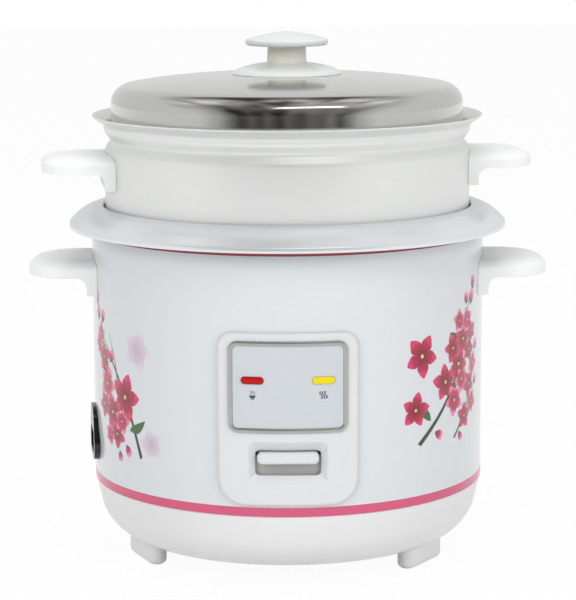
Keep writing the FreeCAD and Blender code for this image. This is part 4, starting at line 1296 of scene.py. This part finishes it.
def make_world():
    world = bpy.data.worlds.new("studio")
    bpy.context.scene.world = world
    world.use_nodes = True
    tree = world.node_tree
    light = tree.nodes["Background"]
    fill(tree, light, {"Color": (0.97, 0.98, 1.0, 1), "Strength": 0.42})
    white = add(tree, "ShaderNodeBackground", {"Color": (1, 1, 1, 1)})
    grey = add(tree, "ShaderNodeBackground", {"Color": (0.8, 0.81, 0.8, 1)})
    rays = add(tree, "ShaderNodeLightPath").outputs
    seen = calculate(tree, "MAXIMUM", rays["Is Camera Ray"], rays["Is Transmission Ray"])
    backdrop = mix_shaders(tree, seen, light, white)
    blend = mix_shaders(tree, rays["Is Glossy Ray"], backdrop, grey)
    fill(tree, tree.nodes["World Output"], {"Surface": blend.outputs[0]})


def add_softbox(name, place, aim, size, power, mirrored=False):
    clear_selection()
    bpy.ops.object.light_add(type="AREA", location=place)
    lamp = bpy.context.object
    lamp.name = name
    lamp.data.shape = "RECTANGLE"
    lamp.data.size = size[0]
    lamp.data.size_y = size[1]
    lamp.data.energy = power
    lamp.visible_glossy = mirrored
    direction = Vector(aim) - Vector(place)
    lamp.rotation_euler = direction.to_track_quat("-Z", "Y").to_euler()


def make_room_screen():
    """The dark, uneven side of the room that only shows as a reflection in the metal."""
    clear_selection()
    bpy.ops.mesh.primitive_uv_sphere_add(segments=48, ring_count=24, radius=1.35)
    screen = bpy.context.object
    screen.name = "room_screen"
    open_piece(screen)
    select_where(screen, lambda place: place.y > 0.75 or place.z < 0.02)
    bpy.ops.mesh.delete(type="VERT")
    clear_selection()
    material, tree, shader = start_material("room_screen")
    place = add(tree, "ShaderNodeTexCoord").outputs["Object"]
    upright = add(tree, "ShaderNodeMapping", {"Vector": place, "Scale": (4.4, 1.2, 0.5)})
    panels = noise(tree, upright.outputs["Vector"], 1.0, 3.0)
    contrast = spread(tree, panels, 0.15, 2.0, (0.4, 0.62))
    parts = add(tree, "ShaderNodeSeparateXYZ", {0: place}).outputs
    depth = spread(tree, parts["Y"], 0.0, 1.0, (-1.35, 0.65))
    stops = [(0.0, (0.11, 0.105, 0.1, 1))]
    for position, tone in ((0.25, 0.14), (0.45, 0.3), (0.65, 0.55), (0.85, 0.14)):
        stops.append((position, (tone, tone * 0.98, tone * 0.93, 1)))
    stops.append((1.0, (0.04, 0.037, 0.03, 1)))
    colour = ramp(tree, depth, stops)
    sideways = calculate(tree, "ABSOLUTE", parts["X"])
    behind = spread(tree, parts["Y"], 0.0, 0.35, (-0.1, 0.5))
    away = calculate(tree, "ADD", sideways, behind)
    middle = spread(tree, away, 1.0, 0.0, (0.7, 1.1))
    front = spread(tree, parts["Y"], 1.0, 0.0, (0.42, 0.6))
    both = calculate(tree, "MULTIPLY", middle, front)
    glow = add(tree, "ShaderNodeEmission", {"Color": colour, "Strength": contrast})
    clear = add(tree, "ShaderNodeBsdfTransparent")
    blend = mix_shaders(tree, both, clear, glow)
    fill(tree, tree.nodes["Material Output"], {"Surface": blend.outputs[0]})
    tree.nodes.remove(shader)
    screen.data.materials.append(material)
    screen.visible_camera = False
    screen.visible_diffuse = False
    screen.visible_transmission = False
    screen.visible_shadow = False


def make_lights():
    middle = (0, 0, 0.17)
    add_softbox("front_left", (-1.5, -2.2, 1.5), middle, (1.4, 1.4), 31.5)
    add_softbox("front_right", (1.7, -1.9, 1.2), middle, (1.2, 1.4), 24)
    add_softbox("overhead", (0, 0.3, 2.4), middle, (2.0, 2.0), 23)
    add_softbox("strip", (0.22, -0.72, 1.06), (0, 0, 0.28), (1.0, 0.1), 1.1, True)


def make_camera():
    clear_selection()
    bpy.ops.object.camera_add(location=(0, -1.4864, 0.4079))
    camera = bpy.context.object
    camera.name = "camera"
    pitch = math.radians(90 - 9.458)
    camera.rotation_euler = (pitch, 0, 0)
    camera.rotation_euler.rotate_axis("Z", math.radians(-0.2))
    camera.data.sensor_fit = "VERTICAL"
    camera.data.sensor_height = 36
    camera.data.lens = 139.83
    camera.data.shift_x = 0.4 / 600
    bpy.context.scene.camera = camera
    bpy.context.scene.view_settings.view_transform = "Standard"


make_lid()
make_tray()
make_pot()
make_shell()
make_base()
make_feet()
make_handles()
make_panel()
make_label()
make_bezel()
make_lenses()
make_sensor_coil()
make_blossom_prints()
make_label_signs()
dress_cad_pieces()
make_stage()
make_world()
make_room_screen()
make_lights()
make_camera()
